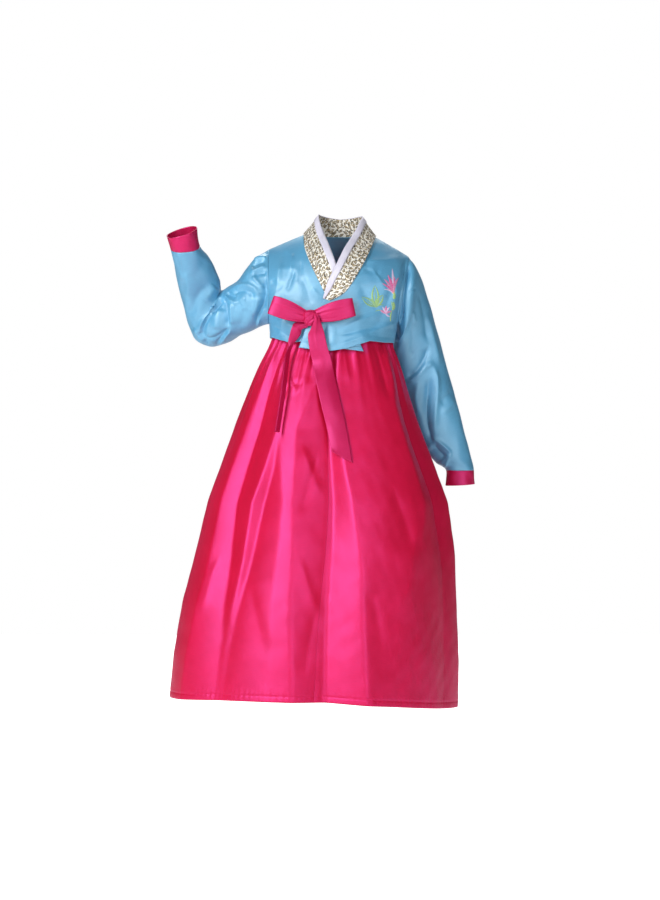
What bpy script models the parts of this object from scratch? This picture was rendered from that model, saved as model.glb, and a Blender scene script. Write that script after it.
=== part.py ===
"""A child's hanbok, worn: satin jeogori jacket over a long gathered chima skirt, with its goreum bow.

Metres, +Z up, the front faces -Y and +X is the wearer's left. The origin is the middle of the neck
opening at the height of the shoulders. Every piece of cloth is one closed wall.
"""

import math
from typing import NamedTuple

import bmesh
import bpy
import numpy as np

# ---- cloth -------------------------------------------------------------------------------------
WALL = 0.0014            # satin with its backing
TRIM_WALL = 0.0010       # the paper-stiff white collar strip
RIBBON_WALL = 0.0012
SEAM_GAP = 0.0003        # air between two edges that are sewn together
LAY_GAP = 0.0005         # air between a layer and the one it lies on
SHARP_ANGLE = 50.0       # degrees: edges that turn further are cut edges, not folds

# ---- jacket body ---------------------------------------------------------------------------------
SHOULDER_TOP = 0.0185    # height of the shoulder line's own middle, cut away by the neck
SHOULDER_SLOPES = {1: 0.623, -1: 0.485}   # the wearer's right shoulder is up with the raised arm
SHOULDER_ROUND = 0.050
ARMHOLE_TOP_X = 0.1395   # half breadth at the shoulder tip
UNDERARM_X = 0.1285
UNDERARM_Z = -0.178
SIDE_TAPER = 0.128       # the body narrows by this share of its drop below the underarm
BODY_POWER = 2.4         # roundness of the body's section
CHEST_DEPTH = 0.088      # front of the body at the origin's height
CHEST_FALL = 0.055       # the chest comes forward by this share of the drop
BACK_DEPTH = 0.082
BACK_FALL = 0.020
FRONT_ROUNDING = 0.120   # height over which the shoulder rounds into the chest
BACK_ROUNDING = 0.080
ROUNDING_POWER = 0.75
ARMHOLE_OPEN = 0.72      # share of the body's depth that the armhole spans
ARMHOLE_ROUNDNESS = 2.5
LEAN_AT_NECK = 0.0035    # the body leans a little to the wearer's right on the way down
LEAN = 0.070

NECK_LEFT = 0.0675       # where the neckline meets each shoulder seam
NECK_RIGHT = -0.0590
BACK_NECK_Z = -0.0005

# edges in front view: x at z, from the hem up
LEFT_FRONT_EDGE = ((-0.2400, -0.0810), (-0.1952, -0.0649), (-0.1356, -0.0285), (-0.1235, -0.0120),
                   (-0.1097, 0.0085), (-0.0902, 0.0256), (-0.0602, 0.0425), (-0.0237, 0.0605),
                   (-0.0020, NECK_LEFT))
RIGHT_FRONT_EDGE = ((-0.2400, 0.0515), (-0.2000, 0.0345), (-0.1560, 0.0130), (-0.1423, 0.0000),
                    (-0.1204, -0.0165), (-0.1011, -0.0265), (-0.0786, -0.0375), (-0.0551, -0.0475),
                    (-0.0321, -0.0565), (-0.0020, NECK_RIGHT))
# hems in front view: z at x, from the wearer's right to the left
LEFT_HEM = ((-0.0777, -0.2295), (-0.0453, -0.2342), (-0.0140, -0.2362), (0.0172, -0.2316),
            (0.0466, -0.2216), (0.0624, -0.2164), (0.0924, -0.2182), (0.1131, -0.2172))
RIGHT_HEM = ((-0.1340, -0.2060), (-0.1146, -0.2132), (-0.0945, -0.2189), (-0.0728, -0.2174),
             (-0.0356, -0.2246), (0.0036, -0.2315), (0.0506, -0.2368))
BACK_HEM = ((-0.1340, -0.2060), (-0.0700, -0.2190), (0.0000, -0.2240), (0.0700, -0.2210),
            (0.1131, -0.2172))

ARMHOLE_ROWS = (0.0, 0.012, 0.036, 0.085, 0.16, 0.27, 0.40, 0.55, 0.70, 0.85, 1.0)
LOWER_ROWS = (0.34, 0.67, 1.0)
BODY_ROWS = len(ARMHOLE_ROWS) + len(LOWER_ROWS)
FRONT_COLUMNS = (0.0, 0.07, 0.14, 0.22, 0.30, 0.39, 0.48, 0.58, 0.68, 0.78, 0.88, 0.95, 1.0)
SETTLE = 12              # rounds in which a point settles onto its row
BACK_SIDE_COLUMNS = 7
BACK_NECK_COLUMNS = 6

# ---- collar ----------------------------------------------------------------------------------------
UNDER_GIT = LAY_GAP + WALL               # outer face of the collar that lies on the under front
OVERLAP_LIFT = UNDER_GIT + LAY_GAP + WALL + 0.0010   # outer face of the front that laps over it
OVERLAP_FADE = 0.045                     # breadth over which the over front settles back
OVERLAP_MARGIN = 0.050
UNDER_COLLAR_END_Z = -0.1400             # below this the under front reaches further than its collar
COLLAR_STAND = 0.0020                    # further lift where the collar stands up round the neck
DONGJEONG_WIDTH = 0.30                   # share of the collar's width
DONGJEONG_OVERHANG = 0.08                # and the strip's own share past the collar's inner edge
GIT_COLUMNS = (0.0, 0.35, 1.0 - DONGJEONG_WIDTH, 1.0)   # shares of the width, outer edge first
GIT_STEPS = 2                            # rows from one crossing to the next


class CollarStation(NamedTuple):
    """One crossing of the collar: its outer edge and its inner edge. None is found on the body."""

    outer: tuple
    inner: tuple


COLLAR = (
    CollarStation((-0.0180, None, -0.1370), (-0.0297, None, -0.1336)),
    CollarStation((-0.0062, None, -0.1331), (-0.0270, None, -0.1245)),
    CollarStation((0.0100, None, -0.1235), (-0.0235, None, -0.1130)),
    CollarStation((0.0225, None, -0.1097), (-0.0180, None, -0.0975)),
    CollarStation((0.0349, None, -0.0902), (-0.0062, None, -0.0735)),
    CollarStation((0.0430, None, -0.0755), (0.0040, None, -0.0525)),
    CollarStation((0.0516, None, -0.0602), (0.0130, None, -0.0335)),
    CollarStation((0.0610, None, -0.0400), (0.0250, -0.0480, -0.0130)),
    CollarStation((0.0690, None, -0.0210), (0.0358, -0.0340, 0.0060)),
    CollarStation((0.0745, -0.0140, None), (0.0440, -0.0150, 0.0250)),
    CollarStation((0.0755, 0.0040, None), (0.0490, 0.0080, 0.0360)),
    CollarStation((0.0650, 0.0300, None), (0.0430, 0.0300, 0.0385)),
    CollarStation((0.0400, 0.0470, None), (0.0270, 0.0440, 0.0370)),
    CollarStation((0.0060, 0.0510, None), (0.0060, 0.0500, 0.0355)),
    CollarStation((-0.0300, 0.0470, None), (-0.0165, 0.0440, 0.0375)),
    CollarStation((-0.0560, 0.0300, None), (-0.0330, 0.0300, 0.0400)),
    CollarStation((-0.0670, 0.0040, None), (-0.0385, 0.0080, 0.0400)),
    CollarStation((-0.0685, -0.0140, None), (-0.0375, -0.0150, 0.0280)),
    CollarStation((-0.0665, None, -0.0280), (-0.0330, -0.0340, 0.0095)),
    CollarStation((-0.0590, None, -0.0520), (-0.0230, -0.0480, -0.0160)),
    CollarStation((-0.0476, None, -0.0786), (-0.0110, None, -0.0480)),
    CollarStation((-0.0366, None, -0.1011), (-0.0020, None, -0.0750)),
    CollarStation((-0.0270, None, -0.1204), (0.0060, None, -0.0970)),
    CollarStation((-0.0140, None, -0.1423), (0.0120, None, -0.1150)),
    CollarStation((0.0016, None, -0.1560), (0.0153, None, -0.1300)),
)
OVER_COLLAR = 9          # stations of the front end that lies over, up to the shoulder
UNDER_COLLAR = 17        # first station of the end that lies under
STAND_FROM, STAND_TO = 6, 20             # stations between which the collar stands up
DONGJEONG_END = 22       # the under end of the white strip stops here, hidden


# ---- sleeves ---------------------------------------------------------------------------------------
class Section(NamedTuple):
    """A ring of a sleeve in front view: its upper and lower edge, its middle's y and half depth.

    The last two sections of a sleeve are the two edges of its cuff.
    """

    top: tuple
    bottom: tuple
    y: float
    depth: float


RIGHT_SLEEVE = (
    Section((-0.1601, -0.0437), (-0.1590, -0.1838), 0.003, 0.0500),
    Section((-0.1804, -0.0652), (-0.1844, -0.1955), 0.010, 0.0480),
    Section((-0.1985, -0.0890), (-0.2068, -0.2051), 0.018, 0.0460),
    Section((-0.2192, -0.1030), (-0.2333, -0.2177), 0.026, 0.0440),
    Section((-0.2306, -0.1085), (-0.2598, -0.2215), 0.032, 0.0430),
    Section((-0.2352, -0.1065), (-0.2861, -0.2075), 0.034, 0.0420),
    Section((-0.2368, -0.0990), (-0.2999, -0.1803), 0.029, 0.0410),
    Section((-0.2400, -0.0840), (-0.3080, -0.1450), 0.015, 0.0390),
    Section((-0.2478, -0.0623), (-0.3167, -0.1103), -0.004, 0.0365),
    Section((-0.2585, -0.0443), (-0.3231, -0.0761), -0.027, 0.0340),
    Section((-0.2728, -0.0280), (-0.3305, -0.0319), -0.055, 0.0310),
    Section((-0.2784, 0.0083), (-0.3379, -0.0095), -0.068, 0.0300),
)
LEFT_SLEEVE = (
    Section((0.1560, -0.0570), (0.1400, -0.1900), 0.008, 0.0500),
    Section((0.1680, -0.0860), (0.1275, -0.2080), 0.024, 0.0480),
    Section((0.1812, -0.1252), (0.1232, -0.2300), 0.040, 0.0460),
    Section((0.1944, -0.1690), (0.1246, -0.2621), 0.051, 0.0440),
    Section((0.2089, -0.2173), (0.1330, -0.3004), 0.058, 0.0415),
    Section((0.2273, -0.2840), (0.1470, -0.3469), 0.062, 0.0385),
    Section((0.2436, -0.3448), (0.1640, -0.3935), 0.064, 0.0355),
    Section((0.2578, -0.3975), (0.1800, -0.4300), 0.065, 0.0325),
    Section((0.2680, -0.4361), (0.1991, -0.4560), 0.066, 0.0300),
    Section((0.2762, -0.4706), (0.2194, -0.4706), 0.067, 0.0280),
    Section((0.2773, -0.4990), (0.2184, -0.5021), 0.068, 0.0285),
)
SLEEVE_LENGTHS = ("shoulder", "upper", "elbow", "lower", "forearm", "wrist")
RIGHT_JOINS = (3, 6, 9, 14, 18)    # rings where a sleeve's lengths meet
LEFT_JOINS = (4, 7, 10, 13, 16)
SLEEVE_AROUND = 20
SLEEVE_RINGS_EACH = 2    # rings from one section to the next
SLEEVE_POWER = 2.15
CREASE_SHEAR = 0.5       # how far a slanted crease runs along the sleeve as it goes round


class Crease(NamedTuple):
    """A trough (negative) or ridge in a sleeve: places are shares of its length and of a turn."""

    along: float
    around: float
    length: float
    width: float
    slant: float
    height: float


RIGHT_CREASES = (
    Crease(0.46, 0.08, 0.050, 0.16, 0.3, -0.0045),
    Crease(0.54, 0.14, 0.035, 0.16, -0.2, -0.0050),
    Crease(0.62, 0.10, 0.040, 0.14, -0.4, -0.0035),
    Crease(0.40, 0.22, 0.050, 0.14, 0.5, 0.0030),
    Crease(0.50, 0.88, 0.045, 0.14, 0.2, -0.0045),
    Crease(0.60, 0.82, 0.045, 0.12, -0.3, 0.0030),
)
LEFT_CREASES = (
    Crease(0.30, 0.20, 0.060, 0.12, 0.5, -0.0045),
    Crease(0.46, 0.24, 0.060, 0.12, 0.2, -0.0040),
    Crease(0.56, 0.14, 0.050, 0.12, -0.3, 0.0030),
    Crease(0.82, 0.30, 0.040, 0.16, 0.4, -0.0035),
    Crease(0.42, 0.78, 0.050, 0.12, -0.3, -0.0040),
)


# ---- skirt -----------------------------------------------------------------------------------------
class Level(NamedTuple):
    """A level ring of the skirt: its middle, half breadth, depths, and the height of its gathers."""

    z: float
    middle: float
    half: float
    front: float
    back: float
    gather: float


SKIRT_TOP = -0.1780
SKIRT_LEVELS = (
    Level(SKIRT_TOP, -0.0090, 0.1145, 0.0850, 0.0720, 0.0025),
    Level(-0.2000, -0.0105, 0.1160, 0.0885, 0.0750, 0.0030),
    Level(-0.2220, -0.0150, 0.1205, 0.0915, 0.0795, 0.0024),
    Level(-0.2400, -0.0160, 0.1295, 0.0940, 0.0880, 0.0036),
    Level(-0.2700, -0.0180, 0.1435, 0.1030, 0.0990, 0.0036),
    Level(-0.3150, -0.0205, 0.1595, 0.1150, 0.1120, 0.0022),
    Level(-0.3700, -0.0215, 0.1785, 0.1300, 0.1280, 0.0010),
    Level(-0.4400, -0.0200, 0.2040, 0.1490, 0.1480, 0.0),
    Level(-0.5300, -0.0185, 0.2355, 0.1720, 0.1730, 0.0),
    Level(-0.6300, -0.0240, 0.2540, 0.1940, 0.1960, 0.0),
    Level(-0.7400, -0.0360, 0.2700, 0.2120, 0.2160, 0.0),
    Level(-0.8400, -0.0425, 0.2795, 0.2240, 0.2290, 0.0),
    Level(-0.9290, -0.0470, 0.2830, 0.2310, 0.2360, 0.0),
)
HEM_Z = -0.9290
HEM_TILT = -0.0110       # the hem falls to the wearer's left
HEM_FRONT_RISE = 0.0185  # and rides up over the front
SKIRT_POWER = 2.1
GATHERS = 28
SKIRT_PANELS = ("chima_front_left", "chima_front_right", "chima_back_right", "chima_back_left")
PANEL_COLUMNS = 28
SKIRT_COLUMNS = PANEL_COLUMNS * len(SKIRT_PANELS)


class Fold(NamedTuple):
    """A long fold: its angle at the waist and at the hem, half width, height, and where it starts."""

    waist: float
    hem: float
    width: float
    height: float
    start: float
    full: float


SKIRT_FOLDS = (
    Fold(20.0, 19.0, 7.0, 0.010, -0.30, -0.70),
    Fold(35.0, 34.0, 6.0, -0.013, -0.24, -0.50),
    Fold(52.0, 53.0, 8.0, 0.008, -0.30, -0.70),
    Fold(68.0, 63.0, 6.0, -0.007, -0.35, -0.75),
    Fold(88.0, 72.0, 7.0, 0.017, -0.34, -0.62),
    Fold(98.0, 85.0, 6.5, -0.016, -0.28, -0.50),
    Fold(110.0, 101.0, 5.5, 0.014, -0.26, -0.50),
    Fold(113.0, 116.0, 6.0, -0.010, -0.40, -0.70),
    Fold(116.0, 130.0, 6.0, 0.012, -0.34, -0.60),
    Fold(128.0, 137.5, 4.5, -0.010, -0.26, -0.45),
    Fold(144.0, 145.0, 6.0, 0.009, -0.26, -0.60),
    Fold(160.0, 160.0, 7.0, -0.007, -0.30, -0.70),
    Fold(200.0, 199.0, 7.0, 0.010, -0.28, -0.60),
    Fold(214.0, 213.0, 6.0, -0.012, -0.28, -0.60),
    Fold(231.0, 229.0, 7.0, 0.015, -0.28, -0.60),
    Fold(246.0, 246.0, 6.0, -0.014, -0.28, -0.55),
    Fold(262.0, 263.0, 7.0, 0.016, -0.28, -0.60),
    Fold(277.0, 279.0, 6.0, -0.014, -0.28, -0.55),
    Fold(292.0, 294.0, 7.0, 0.014, -0.28, -0.60),
    Fold(308.0, 309.0, 6.0, -0.012, -0.28, -0.60),
    Fold(324.0, 325.0, 7.0, 0.012, -0.28, -0.60),
    Fold(341.0, 341.0, 6.0, -0.007, -0.30, -0.70),
)
FOLD_WAIST_Z = -0.2400
RESTING_BREADTH = 0.012  # half breadth of skirt that something hanging on it rests against
RESTING_STEP = 1.5       # degrees

BAND_TOP = -0.1200
BAND_BOTTOM = SKIRT_TOP + SEAM_GAP
BAND_COLUMNS = 40
STRAP_WIDTH = 0.026
STRAP_AT_SHOULDER = 0.096
STRAP_AT_BAND = 0.070
STRAP_UNDER = -0.0026    # outer face of the strap under the jacket's outer face
STRAP_STEPS = 10
STRAP_SPREAD = 1.6       # its crossings lie closer together where it bends over the shoulder

# ---- bow -------------------------------------------------------------------------------------------
KNOT = (-0.0515, -0.1720)    # x, z of its middle
KNOT_HALF = (0.0082, 0.0075, 0.0145)
KNOT_AROUND = 16
KNOT_POWER = 2.6
KNOT_RINGS = (-1.0, -0.82, -0.45, 0.0, 0.45, 0.82, 1.0)
KNOT_TAPER = 3.0
KNOT_END = 0.35          # square of the share of its breadth that an end keeps
KNOT_SEAT = 0.012        # half height over which the knot touches the jacket


class Loop(NamedTuple):
    """A loop of the bow: where it leaves the knot and where it ends, with its height at each."""

    root: tuple
    end: tuple
    root_height: float
    end_height: float
    depth: float


LOOPS = {
    "goreum_loop_right": Loop((-0.0601, -0.1690), (-0.1300, -0.1450), 0.0190, 0.0310, 0.0180),
    "goreum_loop_left": Loop((-0.0429, -0.1670), (0.0310, -0.1495), 0.0190, 0.0300, 0.0180),
}
LOOP_STEPS = 26
LOOP_ACROSS = 3
LOOP_LAYER_GAP = 0.0032
LOOP_OPENING = 0.7       # how soon a loop opens to its full height
LOOP_STAND = 0.45        # share of its depth that a loop's middle stands off the jacket


class TailStation(NamedTuple):
    """One crossing of a ribbon tail: x and z of both edges and how far each stands off the cloth."""

    near: tuple
    far: tuple
    near_off: float
    far_off: float


FRONT_TAIL = (
    TailStation((-0.0560, -0.1870), (-0.0440, -0.1870), 0.0115, 0.0115),
    TailStation((-0.0590, -0.2050), (-0.0310, -0.2000), 0.0080, 0.0100),
    TailStation((-0.0550, -0.2400), (-0.0200, -0.2300), 0.0060, 0.0080),
    TailStation((-0.0430, -0.2960), (-0.0065, -0.2860), 0.0060, 0.0045),
    TailStation((-0.0330, -0.3430), (0.0045, -0.3330), 0.0070, 0.0040),
    TailStation((-0.0230, -0.3850), (0.0135, -0.3760), 0.0080, 0.0036),
    TailStation((-0.0150, -0.4220), (0.0215, -0.4190), 0.0070, 0.0036),
    TailStation((-0.0120, -0.4330), (0.0268, -0.4540), 0.0070, 0.0036),
)
SIDE_TAIL = (
    TailStation((-0.0620, -0.1870), (-0.0500, -0.1870), 0.0045, 0.0050),
    TailStation((-0.0780, -0.1970), (-0.0630, -0.2000), 0.0045, 0.0090),
    TailStation((-0.0880, -0.2110), (-0.0740, -0.2160), 0.0050, 0.0180),
    TailStation((-0.0945, -0.2320), (-0.0840, -0.2350), 0.0050, 0.0290),
    TailStation((-0.1030, -0.2750), (-0.0975, -0.2750), 0.0050, 0.0370),
    TailStation((-0.1100, -0.3300), (-0.1050, -0.3300), 0.0060, 0.0400),
    TailStation((-0.1160, -0.3750), (-0.1100, -0.3750), 0.0060, 0.0410),
    TailStation((-0.1195, -0.3950), (-0.1130, -0.4000), 0.0060, 0.0410),
)
TAIL_STEPS = 2
TAIL_ACROSS = 4
TAIL_BELLY = 0.0025      # a tail's middle bows forward
TAIL_DROP_PAST_HEM = 0.020   # a tail falls this far past the jacket's hem before it meets the skirt

# ---- finishes: colour, roughness, metallic -----------------------------------------------------------
SKY_SATIN = ((0.16, 0.47, 0.71), 0.38, 0.0)
MAGENTA_SATIN = ((0.70, 0.02, 0.12), 0.36, 0.0)
PINK_RIBBON = ((0.72, 0.02, 0.15), 0.35, 0.0)
GOLD_BROCADE = ((0.70, 0.58, 0.33), 0.50, 0.2)
WHITE_STRIP = ((0.88, 0.86, 0.93), 0.55, 0.0)
WHITE_COTTON = ((0.85, 0.84, 0.86), 0.80, 0.0)


# ---- small helpers -----------------------------------------------------------------------------------
def clamp(value, low=0.0, high=1.0):
    return min(high, max(low, value))


def smooth(value):
    """Ease from 0 to 1."""
    value = clamp(value)
    return value * value * (3.0 - 2.0 * value)


def rounded(turn, power):
    """A point of a superellipse's unit outline: its cosine and its sine, squared off by the power."""
    cos, sin = math.cos(turn), math.sin(turn)
    return (math.copysign(abs(cos) ** (2.0 / power), cos),
            math.copysign(abs(sin) ** (2.0 / power), sin))


def along(table, value):
    """Read a rising or falling two-column table at a value, held at its ends."""
    rows = sorted(table)
    return float(np.interp(value, [row[0] for row in rows], [row[1] for row in rows]))


def curve_through(points, steps):
    """Points of a smooth curve through the given ones, with this many steps between each two."""
    points = np.asarray(points, dtype=float)
    padded = np.vstack([2 * points[0] - points[1], points, 2 * points[-1] - points[-2]])
    result = []
    for k in range(1, len(padded) - 2):
        p0, p1, p2, p3 = padded[k - 1:k + 3]
        for step in range(steps):
            t = step / steps
            result.append(0.5 * (2 * p1 + (p2 - p0) * t + (2 * p0 - 5 * p1 + 4 * p2 - p3) * t ** 2
                                 + (3 * p1 - p0 - 3 * p2 + p3) * t ** 3))
    result.append(points[-1])
    return np.array(result)


def sheet_normals(points, closed):
    """Unit normals of a grid of points; closed joins its last column to the first."""
    if closed:
        across = np.roll(points, -1, axis=1) - np.roll(points, 1, axis=1)
    else:
        across = np.gradient(points, axis=1)
    normals = np.cross(across, np.gradient(points, axis=0))
    return normals / np.linalg.norm(normals, axis=2, keepdims=True)


def wall_inside(points, wall, closed=False, side=1.0, flat=()):
    """The inner face of a wall. flat lists (rows, columns, axis) whose normals have no such part."""
    normals = sheet_normals(points, closed) * side
    for rows, columns, axis in flat:
        normals[rows, columns, axis] = 0.0
    normals /= np.linalg.norm(normals, axis=2, keepdims=True)
    return points - normals * wall


# ---- mesh and material -------------------------------------------------------------------------------
def finish(name, bm, look):
    """Turn a bmesh into the named object with its own material."""
    if bm.calc_volume(signed=True) < 0.0:
        bmesh.ops.reverse_faces(bm, faces=bm.faces)
    mesh = bpy.data.meshes.new(name)
    bm.to_mesh(mesh)
    bm.free()
    mesh.shade_smooth()
    mesh.set_sharp_from_angle(angle=math.radians(SHARP_ANGLE))
    colour, roughness, metallic = look
    material = bpy.data.materials.new(name + "_cloth")
    material.use_nodes = True
    shader = material.node_tree.nodes["Principled BSDF"]
    shader.inputs["Base Color"].default_value = (*colour, 1.0)
    shader.inputs["Roughness"].default_value = roughness
    shader.inputs["Metallic"].default_value = metallic
    material.diffuse_color = (*colour, 1.0)
    mesh.materials.append(material)
    piece = bpy.data.objects.new(name, mesh)
    bpy.context.scene.collection.objects.link(piece)
    return piece


def cloth_piece(name, outer, inner, look, closed=False):
    """One closed wall from its outer and inner sheets of points."""
    bm = bmesh.new()
    rows, columns = outer.shape[:2]
    out = [[bm.verts.new(point) for point in row] for row in outer]
    ins = [[bm.verts.new(point) for point in row] for row in inner]
    spans = columns if closed else columns - 1
    for r in range(rows - 1):
        for c in range(spans):
            d = (c + 1) % columns
            bm.faces.new((out[r][c], out[r][d], out[r + 1][d], out[r + 1][c]))
            bm.faces.new((ins[r][c], ins[r + 1][c], ins[r + 1][d], ins[r][d]))
    for c in range(spans):
        d = (c + 1) % columns
        bm.faces.new((out[0][c], ins[0][c], ins[0][d], out[0][d]))
        bm.faces.new((out[-1][c], out[-1][d], ins[-1][d], ins[-1][c]))
    if not closed:
        for r in range(rows - 1):
            bm.faces.new((out[r][0], out[r + 1][0], ins[r + 1][0], ins[r][0]))
            bm.faces.new((out[r][-1], ins[r][-1], ins[r + 1][-1], out[r + 1][-1]))
    return finish(name, bm, look)


# ---- the body that the jacket goes round ---------------------------------------------------------------
def lean(z):
    """x of the body's middle at a height."""
    return LEAN_AT_NECK + LEAN * z


def side_of(x):
    """1 on the wearer's left, -1 on the right."""
    return 1 if x >= 0.0 else -1


def shoulder_line(x):
    """Height of the shoulder seam, x measured from the body's middle."""
    return SHOULDER_TOP - SHOULDER_SLOPES[side_of(x)] * (math.hypot(x, SHOULDER_ROUND) - SHOULDER_ROUND)


def seam_height(x):
    """Height of the shoulder seam over a point x of the front view."""
    z = 0.0
    for _ in range(SETTLE):
        z = shoulder_line(x - lean(z))
    return z


ARMHOLE_TOP_Z = {side: shoulder_line(side * ARMHOLE_TOP_X) for side in (-1, 1)}


def armhole_share(z, side):
    """0 at the shoulder tip, 1 at the underarm."""
    return clamp((ARMHOLE_TOP_Z[side] - z) / (ARMHOLE_TOP_Z[side] - UNDERARM_Z))


def side_x(z, side):
    """Half breadth of the cloth: along the armhole, then down the side seam."""
    if z < UNDERARM_Z:
        return UNDERARM_X + (z - UNDERARM_Z) * SIDE_TAPER
    return ARMHOLE_TOP_X + (UNDERARM_X - ARMHOLE_TOP_X) * armhole_share(z, side)


def half_breadth(z, side):
    """Half breadth of the body's full section, which the armhole cuts off."""
    if z <= UNDERARM_Z:
        return side_x(z, side)
    opening = ARMHOLE_OPEN * math.sqrt(1.0 - armhole_share(z, side) ** ARMHOLE_ROUNDNESS)
    return side_x(z, side) / (1.0 - opening ** BODY_POWER) ** (1.0 / BODY_POWER)


def section_depth(x, z, lift, front):
    """Depth of the section alone at x from the body's middle, without the shoulder's rounding."""
    depth = (CHEST_DEPTH - CHEST_FALL * z) if front else (BACK_DEPTH - BACK_FALL * z)
    share = clamp(abs(x) / (half_breadth(z, side_of(x)) + lift))
    return (depth + lift) * (1.0 - share ** BODY_POWER) ** (1.0 / BODY_POWER)


def body_depth(x, z, lift=0.0, front=True):
    """Distance of the body's face from the plane y = 0, lifted outwards by lift."""
    x -= lean(z)
    rounding = FRONT_ROUNDING if front else BACK_ROUNDING
    drop = clamp((shoulder_line(x) + lift - z) / rounding)
    return section_depth(x, z, lift, front) * (1.0 - (1.0 - drop) ** 2) ** ROUNDING_POWER


def body_height(x, y, lift):
    """Height of the lifted shoulder over a point of the plan."""
    front = y < 0.0
    rounding = FRONT_ROUNDING if front else BACK_ROUNDING
    z = 0.0
    for _ in range(SETTLE):
        share = clamp(abs(y) / section_depth(x - lean(z), z, lift, front))
        drop = 1.0 - math.sqrt(1.0 - share ** (1.0 / ROUNDING_POWER))
        z = shoulder_line(x - lean(z)) + lift - drop * rounding
    return z


def between_sides(x0, x1, share, z):
    """x at a share of the way from x0 to x1, closer together where the body turns away."""
    power = BODY_POWER / 2.0

    def turn(x):
        x -= lean(z)
        ratio = clamp(x / half_breadth(z, side_of(x)), -1.0, 1.0)
        return math.asin(math.copysign(abs(ratio) ** power, ratio))

    angle = turn(x0) + (turn(x1) - turn(x0)) * share
    reach = half_breadth(z, side_of(angle)) * abs(math.sin(angle)) ** (1.0 / power)
    return lean(z) + math.copysign(reach, angle)


def row_stop(row, hem_z, side):
    """Height of the panel's outer edge at a row: down the armhole, then down the side seam."""
    if row < len(ARMHOLE_ROWS):
        return ARMHOLE_TOP_Z[side] + (UNDERARM_Z - ARMHOLE_TOP_Z[side]) * ARMHOLE_ROWS[row]
    return UNDERARM_Z + (hem_z - UNDERARM_Z) * LOWER_ROWS[row - len(ARMHOLE_ROWS)]


# ---- jacket ------------------------------------------------------------------------------------------
def under_reach(z):
    """x to which the under front and its collar reach below the over front."""
    reach = along([(station.inner[2], station.inner[0]) for station in COLLAR[UNDER_COLLAR + 1:]], z)
    return max(reach, along(RIGHT_FRONT_EDGE, z)) if z < UNDER_COLLAR_END_Z else reach


def overlap_lift(x, z):
    """How far the over front is lifted by what lies under it."""
    return OVERLAP_LIFT * smooth((under_reach(z) + OVERLAP_MARGIN - x) / OVERLAP_FADE)


def front_sheet(edge, hem, side, lifted):
    """Outer points of a front: rows from the shoulder down, columns from its free edge to its side.

    Each row keeps one share of the way down from the seam to the hem, over every point of it.
    """
    rows = []
    hem_z = along(hem, side)
    for k in range(BODY_ROWS):
        z_out = row_stop(k, hem_z, side)
        x_out = lean(z_out) + side * side_x(z_out, side)
        share = (ARMHOLE_TOP_Z[side] - z_out) / (ARMHOLE_TOP_Z[side] - hem_z)

        def row_z(x):
            top = seam_height(x)
            return top - share * (top - along(hem, x))

        z_in = z_out
        for _ in range(SETTLE * 4):
            z_in = 0.5 * (z_in + row_z(along(edge, z_in)))
        row = []
        for column_share in FRONT_COLUMNS[:-1]:
            z = z_in
            for _ in range(SETTLE):
                x = between_sides(along(edge, z_in), x_out, column_share, z)
                z = row_z(x)
            row.append((x, z))
        row.append((x_out, z_out))
        lifts = [overlap_lift(x, z) if lifted else 0.0 for x, z in row]
        depths = [body_depth(x, z, lift) if k else 0.0 for (x, z), lift in zip(row, lifts)]
        rows.append([(x, -depth - SEAM_GAP / 2, z) for (x, z), depth in zip(row, depths)])
    return np.array(rows)


def seam_flats(rows):
    """Rows of a body panel whose wall runs square to its armhole, and to its side seam."""
    armhole = slice(0, len(ARMHOLE_ROWS))
    side = slice(len(ARMHOLE_ROWS) - 1, rows)
    return armhole, side


def build_fronts():
    """The under front (wearer's right) and the over front, whose edge runs on down from the collar."""
    for name, edge, hem, side, lifted in (
            ("jeogori_front_right", RIGHT_FRONT_EDGE, RIGHT_HEM, -1, False),
            ("jeogori_front_left", LEFT_FRONT_EDGE, LEFT_HEM, 1, True)):
        outer = front_sheet(edge, hem, side, lifted)
        armhole, side_seam = seam_flats(len(outer))
        flat = ((armhole, -1, 0), (side_seam, -1, 1), (0, slice(None), 1))
        inner = wall_inside(outer, WALL, side=-side, flat=flat)
        cloth_piece(name, outer, inner, SKY_SATIN)


def back_row(k):
    """Outer points of one row of the back, from the wearer's right side to the left."""
    stops = {}
    shares = {}
    for side, (_, hem_z) in ((-1, BACK_HEM[0]), (1, BACK_HEM[-1])):
        z = row_stop(k, hem_z, side)
        stops[side] = (lean(z) + side * side_x(z, side), z)
        shares[side] = (ARMHOLE_TOP_Z[side] - z) / (ARMHOLE_TOP_Z[side] - hem_z)
    spans = ((stops[-1][0], NECK_RIGHT, BACK_SIDE_COLUMNS), (NECK_RIGHT, NECK_LEFT, BACK_NECK_COLUMNS),
             (NECK_LEFT, stops[1][0], BACK_SIDE_COLUMNS))
    row = []
    for x0, x1, count in spans:
        for c in range(1, count + 1):
            z = stops[1][1]
            for _ in range(SETTLE):
                x = between_sides(x0, x1, c / count, z)
                mix = smooth((x - NECK_RIGHT) / (NECK_LEFT - NECK_RIGHT))
                share = shares[-1] + (shares[1] - shares[-1]) * mix
                top = min(seam_height(x), BACK_NECK_Z)
                z = top - share * (top - along(BACK_HEM, x))
            row.append((x, z))
    row = [stops[-1]] + row[:-1] + [stops[1]]
    points = []
    for x, z in row:
        on_seam = k == 0 and not NECK_RIGHT < x < NECK_LEFT
        depth = 0.0 if on_seam else body_depth(x, z, front=False)
        points.append((x, depth + SEAM_GAP / 2, z))
    return points


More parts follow.
